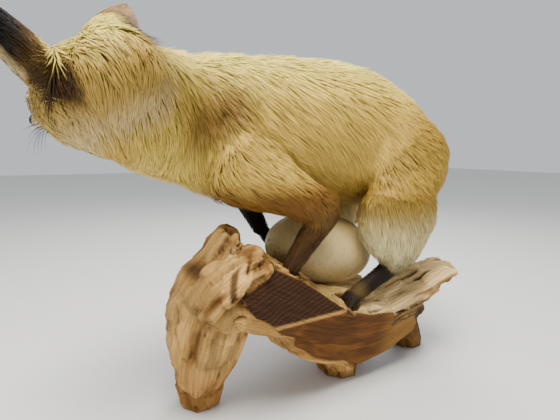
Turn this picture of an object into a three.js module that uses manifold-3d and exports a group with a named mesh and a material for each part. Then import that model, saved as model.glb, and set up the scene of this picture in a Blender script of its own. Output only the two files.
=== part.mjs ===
// A taxidermy red fox (Vulpes vulpes) on its mount: a piece of sawn driftwood with a round stone.
// Millimetres, +Z up. The fox looks towards -X, so its left side is -Y. The finished group is moved
// so that its box is centred on X and Y and stands on Z = 0. Every outline is the coat's outside.
import * as THREE from "three";
import { mergeVertices } from "three/addons/utils/BufferGeometryUtils.js";
import Module from "manifold-3d";

const wasm = await Module();
wasm.setup();

// ---------------------------------------------------------------- driving dimensions
const GAP = 0.3; // between two pieces that touch

// Where the head sits, and how it is turned: yaw to its right, nose down, left ear low.
const CROWN = [-281, -74, 420];
const HEAD_YAW = 33;
const HEAD_PITCH = -9;
const HEAD_ROLL = -28;

// The head in its own frame: x to its right, y along the muzzle, z up, zero between the ears.
const EYE = { apart: 61, ahead: 55, below: 37, radius: 8 };
const NOSE = { ahead: 126, below: 53, wide: 9.5, high: 7.5, deep: 8 };
const EAR = { apart: 88, below: 6, length: 80, width: 50, wall: 5, root: 24 };
// Each ear's own direction, and the way its hollow faces.
const EAR_LEAN = {
  left: { side: 0.6, ahead: -0.4, up: 0.78 },
  right: { side: 0.84, ahead: 0.47, up: 0.25 },
};
const EAR_FACING = {
  left: { side: 0.5, ahead: 0.85, up: 0 },
  right: { side: 0.25, ahead: 0.75, up: -0.6 },
};

// Joints of each leg, from the top down. The left side is -Y.
const FORELEG = {
  left: { shoulder: [-122, -42, 302], elbow: [-24, -66, 250], wrist: [-64, -56, 186], toe: [-80, -52, 160] },
  right: { shoulder: [-140, 76, 338], elbow: [-78, 84, 262], wrist: [-54, 76, 210], toe: [-36, 70, 188] },
};
const HINDLEG = {
  left: { hip: [138, -24, 328], knee: [86, -58, 258], hock: [103, -46, 172], toe: [19, -52, 130] },
  right: { hip: [112, 62, 328], knee: [56, 98, 258], hock: [88, 90, 164], toe: [10, 88, 128] },
};

const COAT = {
  straw: "#c9a468",
  cream: "#ddc9a0",
  rust: "#a8702f",
  black: "#2e231b",
};
const WOOD_COLOUR = "#a27a45";
const STONE_COLOUR = "#b3a894";

// ---------------------------------------------------------------- small helpers
const vector = (p) => new THREE.Vector3(p[0], p[1], p[2]);
const radians = THREE.MathUtils.degToRad;

/** A closed surface through rings of points, ended by a point at each end. */
function closedRings(first, rings, last) {
  const sides = rings[0].length;
  const points = [first, ...rings.flat(), last];
  const faces = [];
  const at = (ring, i) => 1 + ring * sides + (i % sides);
  for (let i = 0; i < sides; i++) {
    faces.push(0, at(0, i + 1), at(0, i));
    for (let ring = 0; ring + 1 < rings.length; ring++) {
      faces.push(at(ring, i), at(ring, i + 1), at(ring + 1, i + 1));
      faces.push(at(ring, i), at(ring + 1, i + 1), at(ring + 1, i));
    }
    faces.push(points.length - 1, at(rings.length - 1, i), at(rings.length - 1, i + 1));
  }
  const geometry = new THREE.BufferGeometry();
  const numbers = points.flatMap((p) => p.toArray());
  geometry.setAttribute("position", new THREE.Float32BufferAttribute(numbers, 3));
  geometry.setIndex(faces);
  return geometry;
}

/** A closed geometry as a solid that can be joined and cut, turned outwards. */
function solidOf(geometry) {
  const bare = geometry.clone();
  bare.deleteAttribute("normal");
  bare.deleteAttribute("uv");
  const merged = mergeVertices(bare, 1e-4);
  const vertProperties = new Float32Array(merged.attributes.position.array);
  const triVerts = new Uint32Array(merged.index.array);
  const made = new wasm.Manifold(new wasm.Mesh({ numProp: 3, vertProperties, triVerts }));
  if (made.volume() > 0) return made;
  return new wasm.Manifold(new wasm.Mesh({ numProp: 3, vertProperties, triVerts: triVerts.reverse() }));
}

/** The biggest body of a cut solid, without its crumbs. */
function biggest(solid) {
  const bodies = solid.decompose();
  return bodies.reduce((a, b) => (a.volume() > b.volume() ? a : b));
}

/**
 * A round form along a curved spine. A row is [x, y, z, half width, half height]: the width lies along
 * `across`, the height is square to it and to the spine. Both ends are domes. `grow` swells the form,
 * and `weather(turn, along)` scales the radius to make it uneven.
 */
function loft(rows, options = {}) {
  const { sides = 14, steps = 14, across = [0, 1, 0], grow = 0 } = options;
  const { dome = 0.6, rounded = true, weather = null } = options;
  const spine = new THREE.CatmullRomCurve3(rows.map(vector), false, "centripetal");
  const girth = new THREE.CatmullRomCurve3(rows.map((r) => new THREE.Vector3(r[3], r[4], 0)));
  const rings = [];
  const ring = (along, shift, scale) => {
    const middle = spine.getPoint(along);
    const heading = spine.getTangent(along);
    middle.addScaledVector(heading, shift);
    const size = girth.getPoint(along);
    const wide = vector(across).addScaledVector(heading, -heading.dot(vector(across))).normalize();
    const high = new THREE.Vector3().crossVectors(heading, wide);
    return Array.from({ length: sides }, (_, i) => {
      const turn = (2 * Math.PI * i) / sides;
      const uneven = weather ? weather(turn, along) : 1;
      return middle
        .clone()
        .addScaledVector(wide, Math.cos(turn) * (size.x * uneven + grow) * scale)
        .addScaledVector(high, Math.sin(turn) * (size.y * uneven + grow) * scale);
    });
  };
  const reach = (row) => dome * Math.min(row[3], row[4]) + grow;
  const start = reach(rows[0]);
  const end = reach(rows[rows.length - 1]);
  if (rounded) rings.push(ring(0, -start * 0.7, 0.6));
  for (let i = 0; i <= steps; i++) rings.push(ring(i / steps, 0, 1));
  if (rounded) rings.push(ring(1, end * 0.7, 0.6));
  const tip = (along, shift) => spine.getPoint(along).addScaledVector(spine.getTangent(along), shift);
  return solidOf(closedRings(tip(0, -start), rings, tip(1, end)));
}

/** An egg: radii along its own axes, turned by Euler angles in degrees. */
function egg(centre, radii, turn = [0, 0, 0], detail = [14, 10]) {
  const sphere = new THREE.SphereGeometry(1, detail[0], detail[1]);
  const spin = new THREE.Euler(...turn.map(radians));
  const quaternion = new THREE.Quaternion().setFromEuler(spin);
  const place = new THREE.Matrix4().compose(vector(centre), quaternion, vector(radii));
  return solidOf(sphere.applyMatrix4(place));
}

const join = (...solids) => solids.reduce((a, b) => a.add(b));

/** A named mesh of a solid. */
function piece(name, solid, colour, roughness = 0.9) {
  const mesh = solid.getMesh();
  const geometry = new THREE.BufferGeometry();
  geometry.setAttribute("position", new THREE.BufferAttribute(mesh.vertProperties, 3));
  geometry.setIndex(new THREE.BufferAttribute(mesh.triVerts, 1));
  const material = new THREE.MeshStandardMaterial({ color: colour, roughness, metalness: 0 });
  const made = new THREE.Mesh(geometry, material);
  made.name = name;
  return made;
}

// ---------------------------------------------------------------- trunk, neck and tail
const TRUNK_ROWS = [
  [-150, 19, 352, 74, 85],
  [-122, 20, 349, 80, 93],
  [-90, 20, 344, 85, 98],
  [-45, 20, 342, 86, 102],
  [5, 20, 343, 84, 101],
  [50, 20, 341, 85, 100],
  [92, 20, 330, 86, 91],
  [130, 20, 312, 82, 77],
  [163, 20, 293, 70, 60],
  [187, 20, 280, 50, 42],
];
const NECK_ROWS = [
  [-140, 19, 352, 72, 83],
  [-176, 10, 357, 68, 80],
  [-206, -8, 363, 64, 75],
  [-228, -40, 368, 60, 71],
  [-235, -66, 369, 48, 59],
];
// The ruff that hangs under the head.
const THROAT = { centre: [-258, -70, 352], radii: [38, 42, 44] };
// The tail leaves the rump and sweeps forward along the far flank, down behind the stone.
const TAIL_ROWS = [
  [176, 50, 312, 20, 22],
  [212, 92, 288, 26, 28],
  [204, 128, 256, 32, 34],
  [160, 146, 222, 36, 38],
  [100, 150, 186, 37, 39],
  [48, 148, 156, 31, 33],
  [12, 146, 138, 18, 20],
];
const TAIL_CUTS = [150, 60];

const trunkWith = (grow) => loft(TRUNK_ROWS, { sides: 17, steps: 10, grow });
const throatWith = (grow) => egg(THROAT.centre, THROAT.radii.map((r) => r + grow), [0, 0, 0], [12, 8]);
const neckWith = (grow) => join(loft(NECK_ROWS, { sides: 13, steps: 5, grow, dome: 0.25 }), throatWith(grow));
const tailWith = (grow) => loft(TAIL_ROWS, { sides: 10, steps: 10, across: [0, 0, 1], grow });

// ---------------------------------------------------------------- head, in its own frame
const SKULL_ROWS = [
  [0, -34, -44, 38, 34],
  [0, -14, -42, 52, 46],
  [0, 12, -45, 61, 49],
  [0, 34, -48, 56, 42],
  [0, 54, -50, 41, 33],
  [0, 72, -55, 26, 25],
  [0, 92, -58, 18.5, 20],
  [0, 112, -59, 15, 16.5],
  [0, 124, -60, 11, 12],
];

/** The ear: a cupped blade, widest a third of the way up, whose hollow faces ahead and outwards. */
function ear(side, lean, faces) {
  const up = new THREE.Vector3(side * lean.side, lean.ahead, lean.up).normalize();
  const facing = new THREE.Vector3(side * faces.side, faces.ahead, faces.up);
  facing.addScaledVector(up, -facing.dot(up)).normalize();
  const across = new THREE.Vector3().crossVectors(facing, up);
  const foot = new THREE.Vector3((side * EAR.apart) / 2, 0, -EAR.below).addScaledVector(up, -EAR.root);
  const LEVELS = 9;
  const HALF_RING = 7;
  const rings = [];
  for (let level = 0; level < LEVELS; level++) {
    const rise = level / LEVELS;
    const half = (EAR.width / 2) * (1 - rise) ** 0.85 * (0.95 + 1.1 * rise);
    const cup = half * (0.95 - 0.5 * rise);
    const wall = EAR.wall * (1.3 - 0.6 * rise);
    const middle = foot.clone().addScaledVector(up, rise * (EAR.length + EAR.root));
    const point = (turn, inset) =>
      middle
        .clone()
        .addScaledVector(across, Math.cos(turn) * (half - inset))
        .addScaledVector(facing, -Math.sin(turn) * Math.max(cup - inset, 1.5) + cup * 0.45);
    const back = Array.from({ length: HALF_RING + 1 }, (_, i) => point((Math.PI * i) / HALF_RING, 0));
    const front = Array.from({ length: HALF_RING - 1 }, (_, i) =>
      point((Math.PI * (HALF_RING - 1 - i)) / HALF_RING, wall));
    rings.push([...back, ...front]);
  }
  const tip = foot.clone().addScaledVector(up, EAR.length + EAR.root);
  return solidOf(closedRings(foot.clone().addScaledVector(up, -4), rings, tip));
}

const SIDES = [["left", -1], ["right", 1]];
const eyeCentre = (side) => [(side * EYE.apart) / 2, EYE.ahead, -EYE.below];
const eyeball = (side, grow) => egg(eyeCentre(side), Array(3).fill(EYE.radius + grow), [0, 0, 0], [9, 6]);
const noseRadii = (grow) => [NOSE.wide + grow, NOSE.deep + grow, NOSE.high + grow];
const noseWith = (grow) => egg([0, NOSE.ahead, -NOSE.below], noseRadii(grow), [-20, 0, 0], [10, 6]);

function skull(grow = 0) {
  const cranium = loft(SKULL_ROWS, { sides: 14, steps: 8, across: [1, 0, 0], grow });
  const cheeks = SIDES.map(([, side]) =>
    egg([side * 38, 14, -62], [27 + grow, 30 + grow, 30 + grow], [0, 0, side * 20], [8, 5]));
  const brow = egg([0, 44, -27], [33 + grow, 26 + grow, 16 + grow], [-14, 0, 0], [8, 5]);
  return join(cranium, brow, ...cheeks);
}

const headPlace = new THREE.Group();
headPlace.position.set(...CROWN);
headPlace.rotation.set(radians(HEAD_PITCH), radians(HEAD_ROLL), radians(HEAD_YAW), "ZXY");
headPlace.updateMatrixWorld(true);
const headToLayout = (solid) => solid.transform(headPlace.matrixWorld.toArray());

function buildHead() {
  const neckHere = neckWith(GAP).transform(headPlace.matrixWorld.clone().invert().toArray());
  let head = skull();
  const nose = noseWith(0);
  head = head.subtract(noseWith(GAP));
  for (const [name, side] of SIDES) {
    head = head.subtract(eyeball(side, GAP));
    const whole = ear(side, EAR_LEAN[name], EAR_FACING[name]);
    const shown = biggest(whole.subtract(skull(GAP)).subtract(neckHere));
    headPlace.add(piece("eye_" + name, eyeball(side, 0), "#7a4a16", 0.1));
    headPlace.add(piece("ear_" + name, shown, COAT.black));
  }
  headPlace.add(piece("nose", nose, "#15120f", 0.4));
  headPlace.add(piece("head", biggest(head), COAT.cream));
}

// ---------------------------------------------------------------- legs
const between = (a, b, share) => a.map((value, i) => value + (b[i] - value) * share);

/** A length of leg: rows of [share of the way, half width, half height] between two joints. */
const limbRows = (from, to, profile) =>
  profile.map(([share, wide, high]) => [...between(from, to, share), wide, high]);

const UPPER_ARM = [[-0.1, 30, 52], [0.25, 30, 42], [0.6, 26, 29], [1, 21, 23]];
const FOREARM = [[0, 18, 20], [0.35, 15.5, 16.5], [0.75, 12.5, 13.5], [1, 12, 12.5]];
const THIGH = [[-0.05, 44, 64], [0.4, 44, 62], [0.8, 36, 52], [1.05, 28, 38]];
const SHANK = [[0, 34, 60], [0.35, 37, 65], [0.7, 30, 46], [1, 21, 24]];
const HOCK_TO_TOE = [[0, 15, 18], [0.2, 12.5, 14], [0.6, 11, 11.5], [0.8, 11.5, 11.5]];

/** A four-sided claw. */
function claw(from, to, across, thick) {
  const ahead = vector(to).sub(vector(from)).normalize();
  const high = new THREE.Vector3().crossVectors(ahead, across).multiplyScalar(thick * 1.3);
  const wide = across.clone().multiplyScalar(thick);
  const ring = [wide, high, wide.clone().negate(), high.clone().negate()].map((d) => d.add(vector(from)));
  return solidOf(closedRings(vector(from).addScaledVector(ahead, -thick), [ring], vector(to)));
}

/** A paw: the pad, four toes and their claws, from where the leg ends towards the toe point. */
function paw(from, toe, { width, reach, grow = 0 }) {
  const ahead = vector(toe).sub(vector(from)).normalize();
  const across = new THREE.Vector3().crossVectors(ahead, new THREE.Vector3(0, 0, 1)).normalize();
  const lift = new THREE.Vector3().crossVectors(across, ahead);
  const spot = (a, s, u) =>
    vector(toe).addScaledVector(ahead, a).addScaledVector(across, s).addScaledVector(lift, u).toArray();
  const pad = loft(
    [
      [...spot(-reach * 1.1, 0, 0), width * 0.62, width * 0.6],
      [...spot(-reach * 0.4, 0, 0), width, width * 0.7],
      [...spot(reach * 0.1, 0, -1), width * 0.95, width * 0.55],
    ],
    { sides: 8, steps: 2, across: across.toArray(), grow },
  );
  const parts = [pad];
  for (const place of [-1.5, -0.5, 0.5, 1.5]) {
    const length = reach * (0.8 - 0.15 * Math.abs(place));
    const line = place * width * 0.5;
    const thick = width * 0.33;
    const root = [...spot(-reach * 0.1, line * 0.9, -width * 0.05), thick, thick];
    const end = spot(length, line * 1.12, -width * 0.18);
    const toeForm = { sides: 5, steps: 1, across: across.toArray(), grow, dome: 0.8, rounded: false };
    parts.push(loft([root, [...end, thick * 0.92, thick * 0.85]], toeForm));
    const point = spot(length + width * 0.62, line * 1.16, -width * 0.42);
    parts.push(claw(end, point, across, 2.1 + grow));
  }
  return join(...parts);
}

/** The hollow that a paw presses into what it stands on, clear of its toes and claws. */
function dent(from, toe, { width, reach }) {
  const ahead = vector(toe).sub(vector(from)).normalize();
  const across = new THREE.Vector3().crossVectors(ahead, new THREE.Vector3(0, 0, 1)).normalize();
  const back = vector(toe).addScaledVector(ahead, -reach * 1.1).toArray();
  const front = vector(toe).addScaledVector(ahead, reach * 1.15).toArray();
  return loft([[...back, width * 1.15, width * 1.05], [...front, width * 1.35, width]],
    { sides: 8, steps: 1, across: across.toArray() });
}

const PAW = { fore: { width: 15, reach: 20 }, hind: { width: 14, reach: 21 } };

/** A length of leg as a function of how much it is swollen. */
const limb = (from, to, profile, sides) => (grow) =>
  loft(limbRows(from, to, profile), { grow, steps: 4, sides });

/** Rows of [node name, shape as a function of how much it is swollen, colour]. */
function foreleg(name) {
  const { shoulder, elbow, wrist, toe } = FORELEG[name];
  const cuff = between(wrist, toe, 0.1);
  return [
    [`foreleg_${name}_upper`, limb(shoulder, elbow, UPPER_ARM, 12), COAT.rust],
    [`foreleg_${name}_lower`, limb(elbow, cuff, FOREARM, 10), COAT.rust],
    [`forepaw_${name}`, (grow) => paw(wrist, toe, { ...PAW.fore, grow }), COAT.black],
  ];
}

function hindleg(name) {
  const { hip, knee, hock, toe } = HINDLEG[name];
  return [
    [`hindleg_${name}_thigh`, limb(hip, knee, THIGH, 12), COAT.straw],
    [`hindleg_${name}_shank`, limb(knee, hock, SHANK, 12), COAT.cream],
    [`hindleg_${name}_foot`, limb(hock, toe, HOCK_TO_TOE, 10), COAT.black],
    [`hindpaw_${name}`, (grow) => paw(hock, toe, { ...PAW.hind, grow }), COAT.black],
  ];
}

// ---------------------------------------------------------------- driftwood and stone
const STONE = { centre: [14, 18, 184], radii: [81, 54, 51], turn: [0, 11, 0] };
const stoneWith = (grow) => egg(STONE.centre, STONE.radii.map((r) => r + grow), STONE.turn, [16, 10]);

/** Slow waves that make the wood uneven, different for each limb of it. */
const weathered = (seed) => (turn, along) =>
  1 + 0.07 * Math.sin(3 * turn + seed + 5 * along) + 0.06 * Math.sin(2 * turn - 2 * seed + 9 * along);

const WOOD_LIMBS = [
  // the tall end, from its foot to the peak
  [
    [-163, 16, -14, 24, 20], [-164, 12, 26, 36, 31], [-162, 0, 74, 52, 43], [-156, -14, 122, 58, 48],
    [-146, -22, 164, 55, 44], [-138, -32, 200, 42, 26], [-134, -40, 228, 20, 13],
  ],
  // the shoulder that falls from the peak to the right
  [
    [-136, -38, 166, 54, 40], [-104, -44, 156, 58, 44], [-66, -46, 136, 58, 42], [-24, -42, 112, 56, 36],
    [24, -30, 98, 54, 34], [78, -18, 92, 48, 30],
  ],
  // the arm that rises to the far right
  [
    [30, -16, 92, 46, 26], [90, -12, 98, 44, 24], [145, -8, 114, 42, 24], [195, -4, 130, 40, 22],
    [230, 0, 133, 32, 18],
  ],
  // the lobe below the saw cuts, down to the floor
  [
    [-70, -40, 116, 44, 34], [-20, -30, 84, 44, 38], [30, -4, 52, 44, 36], [44, 16, 10, 38, 30],
    [46, 26, -24, 32, 28],
  ],
  // the heart of the log, under the stone
  [
    [-110, 10, 140, 52, 40], [-50, 14, 108, 62, 38], [20, 16, 84, 62, 36], [80, 18, 86, 54, 32],
    [126, 14, 98, 44, 26],
  ],
  // the deck behind the stone
  [
    [-120, 40, 156, 40, 44], [-60, 62, 152, 36, 28], [0, 74, 108, 36, 22], [60, 72, 98, 40, 22],
    [110, 50, 96, 44, 24],
  ],
  // two short roots at the back
  [[60, 46, 88, 40, 44], [86, 78, 46, 32, 36], [100, 94, 4, 26, 28], [104, 98, -20, 24, 24]],
  [[128, 8, 90, 38, 34], [172, 24, 54, 30, 30], [198, 36, 8, 24, 24], [204, 40, -20, 22, 22]],
  // the belly of the log, right of the lobe
  [
    [10, -20, 66, 40, 30], [60, -22, 62, 40, 36], [100, -18, 68, 38, 34], [135, -10, 78, 34, 34],
    [165, -4, 92, 30, 26],
  ],
];

/** The swell beside the peak that the saw left alone. */
const WOOD_SWELL = [
  [-162, -44, 146, 40, 34], [-138, -50, 176, 42, 36], [-116, -52, 190, 38, 28], [-98, -50, 190, 30, 16],
];

const NEAR_SAW = { normal: [0.15, -1, 0.25], through: [-80, -91, 128] };
const LOW_SAW = { normal: [0.15, -1, -0.32], through: [-80, -91, 128] };

function cutBy(solid, { normal, through }) {
  const out = vector(normal).normalize();
  return solid.trimByPlane(out.clone().negate().toArray(), -out.dot(vector(through)));
}

const KNOT_HOLE = [[-184, -110, 204, 9, 12], [-176, -60, 196, 8, 10]];

/** The log, sawn, flat underneath, and cut clear of everything that sits on it. */
function driftwood(clear) {
  const limbs = WOOD_LIMBS.map((rows, i) =>
    loft(rows, { sides: 9, steps: rows.length, weather: weathered(i), dome: 0.5 }));
  const swell = loft(WOOD_SWELL, { sides: 10, steps: 4, weather: weathered(9), dome: 0.5 });
  let wood = join(cutBy(cutBy(join(...limbs), NEAR_SAW), LOW_SAW), swell);
  wood = wood.trimByPlane([0, 0, 1], 0);
  wood = wood.subtract(loft(KNOT_HOLE, { sides: 8, steps: 2 }));
  for (const other of clear) wood = wood.subtract(other);
  return biggest(wood);
}

// ---------------------------------------------------------------- the whole model
const DENTS = [
  ...Object.values(FORELEG).map((j) => dent(j.wrist, j.toe, PAW.fore)),
  ...Object.values(HINDLEG).map((j) => dent(j.hock, j.toe, PAW.hind)),
];

const model = new THREE.Group();
buildHead();
model.add(headPlace);

/** Each piece in turn is cut by the ones before it, each swollen by the gap. */
const order = [
  ["trunk", trunkWith, COAT.straw],
  ["neck", neckWith, COAT.straw],
  ...hindleg("left"),
  ...hindleg("right"),
  ...foreleg("left"),
  ...foreleg("right"),
];
const swollen = [headToLayout(join(skull(GAP), eyeball(-1, GAP), eyeball(1, GAP)))];
swollen.push(stoneWith(GAP));
model.add(piece("base_stone", stoneWith(0), STONE_COLOUR, 0.5));
const underfoot = [];
for (const [name, shape, colour] of order) {
  let solid = shape(0);
  for (const other of swollen) solid = solid.subtract(other);
  model.add(piece(name, biggest(solid), colour));
  swollen.push(shape(GAP));
  if (!name.includes("paw")) underfoot.push(shape(GAP));
}

let tail = tailWith(0);
for (const other of swollen) tail = tail.subtract(other);
tail = biggest(tail);
const beyond = tail.trimByPlane([-1, 0, 0], -(TAIL_CUTS[0] - GAP));
model.add(piece("tail_root", biggest(tail.trimByPlane([1, 0, 0], TAIL_CUTS[0])), COAT.straw));
model.add(piece("tail_middle", biggest(beyond.trimByPlane([1, 0, 0], TAIL_CUTS[1])), COAT.straw));
model.add(piece("tail_tip", biggest(beyond.trimByPlane([-1, 0, 0], -(TAIL_CUTS[1] - GAP))), COAT.cream));
const log = driftwood([...underfoot, ...DENTS, stoneWith(GAP), tailWith(GAP)]);
model.add(piece("base_driftwood", log, WOOD_COLOUR, 0.8));

const bounds = new THREE.Box3().setFromObject(model, true);
const middle = bounds.getCenter(new THREE.Vector3());
model.position.set(-middle.x, -middle.y, -bounds.min.z);

export default model;
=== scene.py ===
"""A taxidermy red fox on driftwood, with a stone under its chest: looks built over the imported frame.

The forms below repeat the solids' own layout in millimetres, with the coat's depth added to each row.
One skin is drawn over all the flesh, and tufts of fur are grown on it along the lie of the coat.
"""
import itertools
import math

import bpy
import numpy as np
from mathutils import Matrix, Vector
from mathutils.bvhtree import BVHTree
from mathutils.kdtree import KDTree


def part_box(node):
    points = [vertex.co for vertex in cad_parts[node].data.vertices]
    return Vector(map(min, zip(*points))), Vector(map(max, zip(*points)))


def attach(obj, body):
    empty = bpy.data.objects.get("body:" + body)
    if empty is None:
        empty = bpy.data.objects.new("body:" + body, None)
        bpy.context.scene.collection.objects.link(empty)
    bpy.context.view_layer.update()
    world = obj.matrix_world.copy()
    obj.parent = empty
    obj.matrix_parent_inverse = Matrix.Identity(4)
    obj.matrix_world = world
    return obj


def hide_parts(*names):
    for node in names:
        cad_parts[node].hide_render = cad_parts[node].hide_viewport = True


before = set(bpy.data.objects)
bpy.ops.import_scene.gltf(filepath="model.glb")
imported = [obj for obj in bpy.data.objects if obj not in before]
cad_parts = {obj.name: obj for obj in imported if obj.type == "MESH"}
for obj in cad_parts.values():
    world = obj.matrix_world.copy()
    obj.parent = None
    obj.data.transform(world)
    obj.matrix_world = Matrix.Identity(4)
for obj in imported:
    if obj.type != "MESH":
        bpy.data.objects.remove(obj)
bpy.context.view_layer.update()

# ---------------------------------------------------------------- frame of the layout
STONE_CENTRE = np.array([14.0, 18.0, 184.0])
low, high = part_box("base_stone")
SHIFT = np.array((low + high) / 2) * 1000 - STONE_CENTRE


def to_row(points):
    """Layout millimetres to metres in the row's frame."""
    return (np.asarray(points, float) + SHIFT) / 1000


# ---------------------------------------------------------------- numbers of the animal
CROWN = np.array([-281.0, -74.0, 420.0])
HEAD_YAW = 33
HEAD_PITCH = -9
HEAD_ROLL = -28

EYE_APART = 61
EYE_AHEAD = 55
EYE_BELOW = 37
EYE_RADIUS = 8
LID_RADIUS = 10.6
GAZE = (0.66, 0.72, 0.2)

NOSE_CENTRE = np.array([0.0, 126.0, -53.0])
NOSE_RADII = np.array([9.5, 8.0, 7.5])

EAR_APART = 88
EAR_BELOW = 6
EAR_LENGTH = 80
EAR_WIDTH = 50
EAR_ROOT = 24
EAR_WALL = 4.2
EAR_FUR = 1.2
EAR_LEAN = {-1: (-0.6, -0.4, 0.78), 1: (0.84, 0.47, 0.25)}
EAR_FACING = {-1: (-0.5, 0.85, 0.0), 1: (0.25, 0.75, -0.6)}

# Rows of [x, y, z, half width, half height, coat depth]: the first five are the solids' own.
TRUNK_ROWS = [
    [-150, 19, 352, 74, 85, 22],
    [-122, 20, 349, 80, 93, 22],
    [-90, 20, 344, 85, 98, 21],
    [-45, 20, 342, 86, 102, 20],
    [5, 20, 343, 84, 101, 19],
    [50, 20, 341, 85, 100, 19],
    [92, 20, 330, 86, 91, 19],
    [130, 20, 312, 82, 77, 19],
    [163, 20, 293, 70, 60, 18],
    [187, 20, 280, 50, 42, 16],
]
NECK_ROWS = [
    [-140, 19, 352, 72, 83, 24],
    [-176, 10, 357, 68, 80, 24],
    [-206, -8, 363, 64, 75, 22],
    [-228, -40, 368, 60, 71, 20],
    [-235, -66, 369, 48, 59, 17],
]
THROAT_CENTRE = (-258, -70, 352)
THROAT_RADII = (38, 42, 44)
THROAT_DEPTH = 18
TAIL_ROWS = [
    [176, 50, 312, 20, 22, 10],
    [212, 92, 288, 26, 28, 17],
    [204, 128, 256, 32, 34, 23],
    [160, 146, 222, 36, 38, 27],
    [100, 150, 186, 37, 39, 28],
    [48, 148, 156, 31, 33, 24],
    [12, 146, 138, 18, 20, 13],
]
# In the head's own frame: x to its right, y along the muzzle, z up.
SKULL_ROWS = [
    [0, -34, -44, 38, 34, 12],
    [0, -14, -42, 52, 46, 11],
    [0, 12, -45, 61, 49, 10],
    [0, 34, -48, 56, 42, 8],
    [0, 54, -50, 41, 33, 5],
    [0, 72, -54, 26, 25, 3.2],
    [0, 92, -55, 18, 18, 2.2],
    [0, 112, -55, 14.5, 13.5, 1.6],
    [0, 124, -56, 10.5, 9.5, 1.4],
]
JAW_ROWS = [
    [0, 34, -72, 26, 16, 5],
    [0, 60, -71, 20, 12, 3],
    [0, 90, -71, 14, 8, 2],
    [0, 112, -70.5, 10, 6, 1.6],
    [0, 119, -70, 6.5, 4.5, 1.4],
]
CHEEK_CENTRE = (38, 14, -62)
CHEEK_RADII = (27, 30, 30)
CHEEK_TURN = 20
CHEEK_DEPTH = 12
BROW_CENTRE = (0, 44, -27)
BROW_RADII = (33, 26, 16)
BROW_TURN = -14
BROW_DEPTH = 4

FORELEG = {
    "left": ([-122, -42, 302], [-24, -66, 250], [-64, -56, 186], [-80, -52, 160]),
    "right": ([-140, 76, 338], [-78, 84, 262], [-54, 76, 210], [-36, 70, 188]),
}
HINDLEG = {
    "left": ([138, -24, 328], [86, -58, 258], [103, -46, 172], [19, -52, 130]),
    "right": ([112, 62, 328], [56, 98, 258], [88, 90, 164], [10, 88, 128]),
}
# Share of the way, half width, half height, coat depth.
UPPER_ARM = [[-0.1, 30, 52, 13], [0.25, 30, 42, 11], [0.6, 26, 29, 8], [1, 21, 23, 6]]
FOREARM = [[0, 18, 20, 5], [0.35, 15.5, 16.5, 4], [0.75, 12.5, 13.5, 3], [1, 12, 12.5, 2.6]]
THIGH = [[-0.05, 44, 64, 17], [0.4, 44, 62, 16], [0.8, 36, 52, 15], [1.05, 28, 38, 13]]
SHANK = [[0, 34, 60, 16], [0.35, 37, 65, 16], [0.7, 30, 46, 13], [1, 21, 24, 8]]
HOCK_TO_TOE = [[0, 15, 18, 4], [0.2, 12.5, 14, 3], [0.6, 11, 11.5, 2.5], [0.8, 11.5, 11.5, 2.5]]
PAW_SIZE = {"fore": (15, 20), "hind": (14, 21)}
PAW_DEPTH = 2.0
TOE_PLACES = (-1.5, -0.5, 0.5, 1.5)

rng = np.random.default_rng(7)


# ---------------------------------------------------------------- small helpers
def unit(v):
    v = np.asarray(v, float)
    return v / np.maximum(np.linalg.norm(v, axis=-1, keepdims=True), 1e-9)


def turned(axis, degrees):
    return np.array(Matrix.Rotation(math.radians(degrees), 3, axis))


HEAD_AXES = turned("Z", HEAD_YAW) @ turned("X", HEAD_PITCH) @ turned("Y", HEAD_ROLL)


def in_head(points):
    return (points - CROWN) @ HEAD_AXES


def from_head(points):
    return np.asarray(points, float) @ HEAD_AXES.T + CROWN


def smooth(low_edge, high_edge, value):
    share = np.clip((value - low_edge) / (high_edge - low_edge), 0, 1)
    return share * share * (3 - 2 * share)


CORNERS = list(itertools.product((0, 1), repeat=3))


def lattice(i, j, k, seed):
    """A random number from -1 to 1 for each cell corner."""
    mixed = (i * 374761393 + j * 668265263 + k * 2147483647 + seed * 1274126177) & 0xFFFFFFFF
    mixed = ((mixed ^ (mixed >> 13)) * 1274126177) & 0xFFFFFFFF
    return ((mixed ^ (mixed >> 16)) & 0xFFFF) / 32767.5 - 1


def noise(points, size, seed):
    """Smooth noise from -1 to 1 over cells of that size."""
    scaled = points / size + 100.5
    cell = np.floor(scaled).astype(np.int64)
    part = scaled - cell
    part = part * part * (3 - 2 * part)
    total = np.zeros(len(points))
    for dx in (0, 1):
        wx = part[:, 0] if dx else 1 - part[:, 0]
        for dy in (0, 1):
            wy = part[:, 1] if dy else 1 - part[:, 1]
            for dz in (0, 1):
                wz = part[:, 2] if dz else 1 - part[:, 2]
                total += wx * wy * wz * lattice(cell[:, 0] + dx, cell[:, 1] + dy, cell[:, 2] + dz, seed)
    return total


def curve(points, count):
    """Centripetal Catmull-Rom points at even parameters."""
    p = np.asarray(points, float)
    p = np.vstack([2 * p[0] - p[1], p, 2 * p[-1] - p[-2]])
    made = []
    for s in np.linspace(0, len(p) - 3, count):
        i = min(int(s), len(p) - 4)
        a, b, c, d = p[i : i + 4]
        ab, bc, cd = (max(np.linalg.norm(v) ** 0.5, 1e-4) for v in (b - a, c - b, d - c))
        m1 = ((b - a) / ab - (c - a) / (ab + bc) + (c - b) / bc) * bc
        m2 = ((c - b) / bc - (d - b) / (bc + cd) + (d - c) / cd) * bc
        t = s - i
        made.append(
            (2 * t**3 - 3 * t**2 + 1) * b
            + (t**3 - 2 * t**2 + t) * m1
            + (3 * t**2 - 2 * t**3) * c
            + (t**3 - t**2) * m2
        )
    return np.array(made)


def smin(a, b, width):
    """The smaller of two distances, blended over that width."""
    share = np.clip(0.5 + 0.5 * (b - a) / width, 0, 1)
    return b * (1 - share) + a * share - width * share * (1 - share)


# ---------------------------------------------------------------- forms of the body
FAR = 900.0


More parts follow.
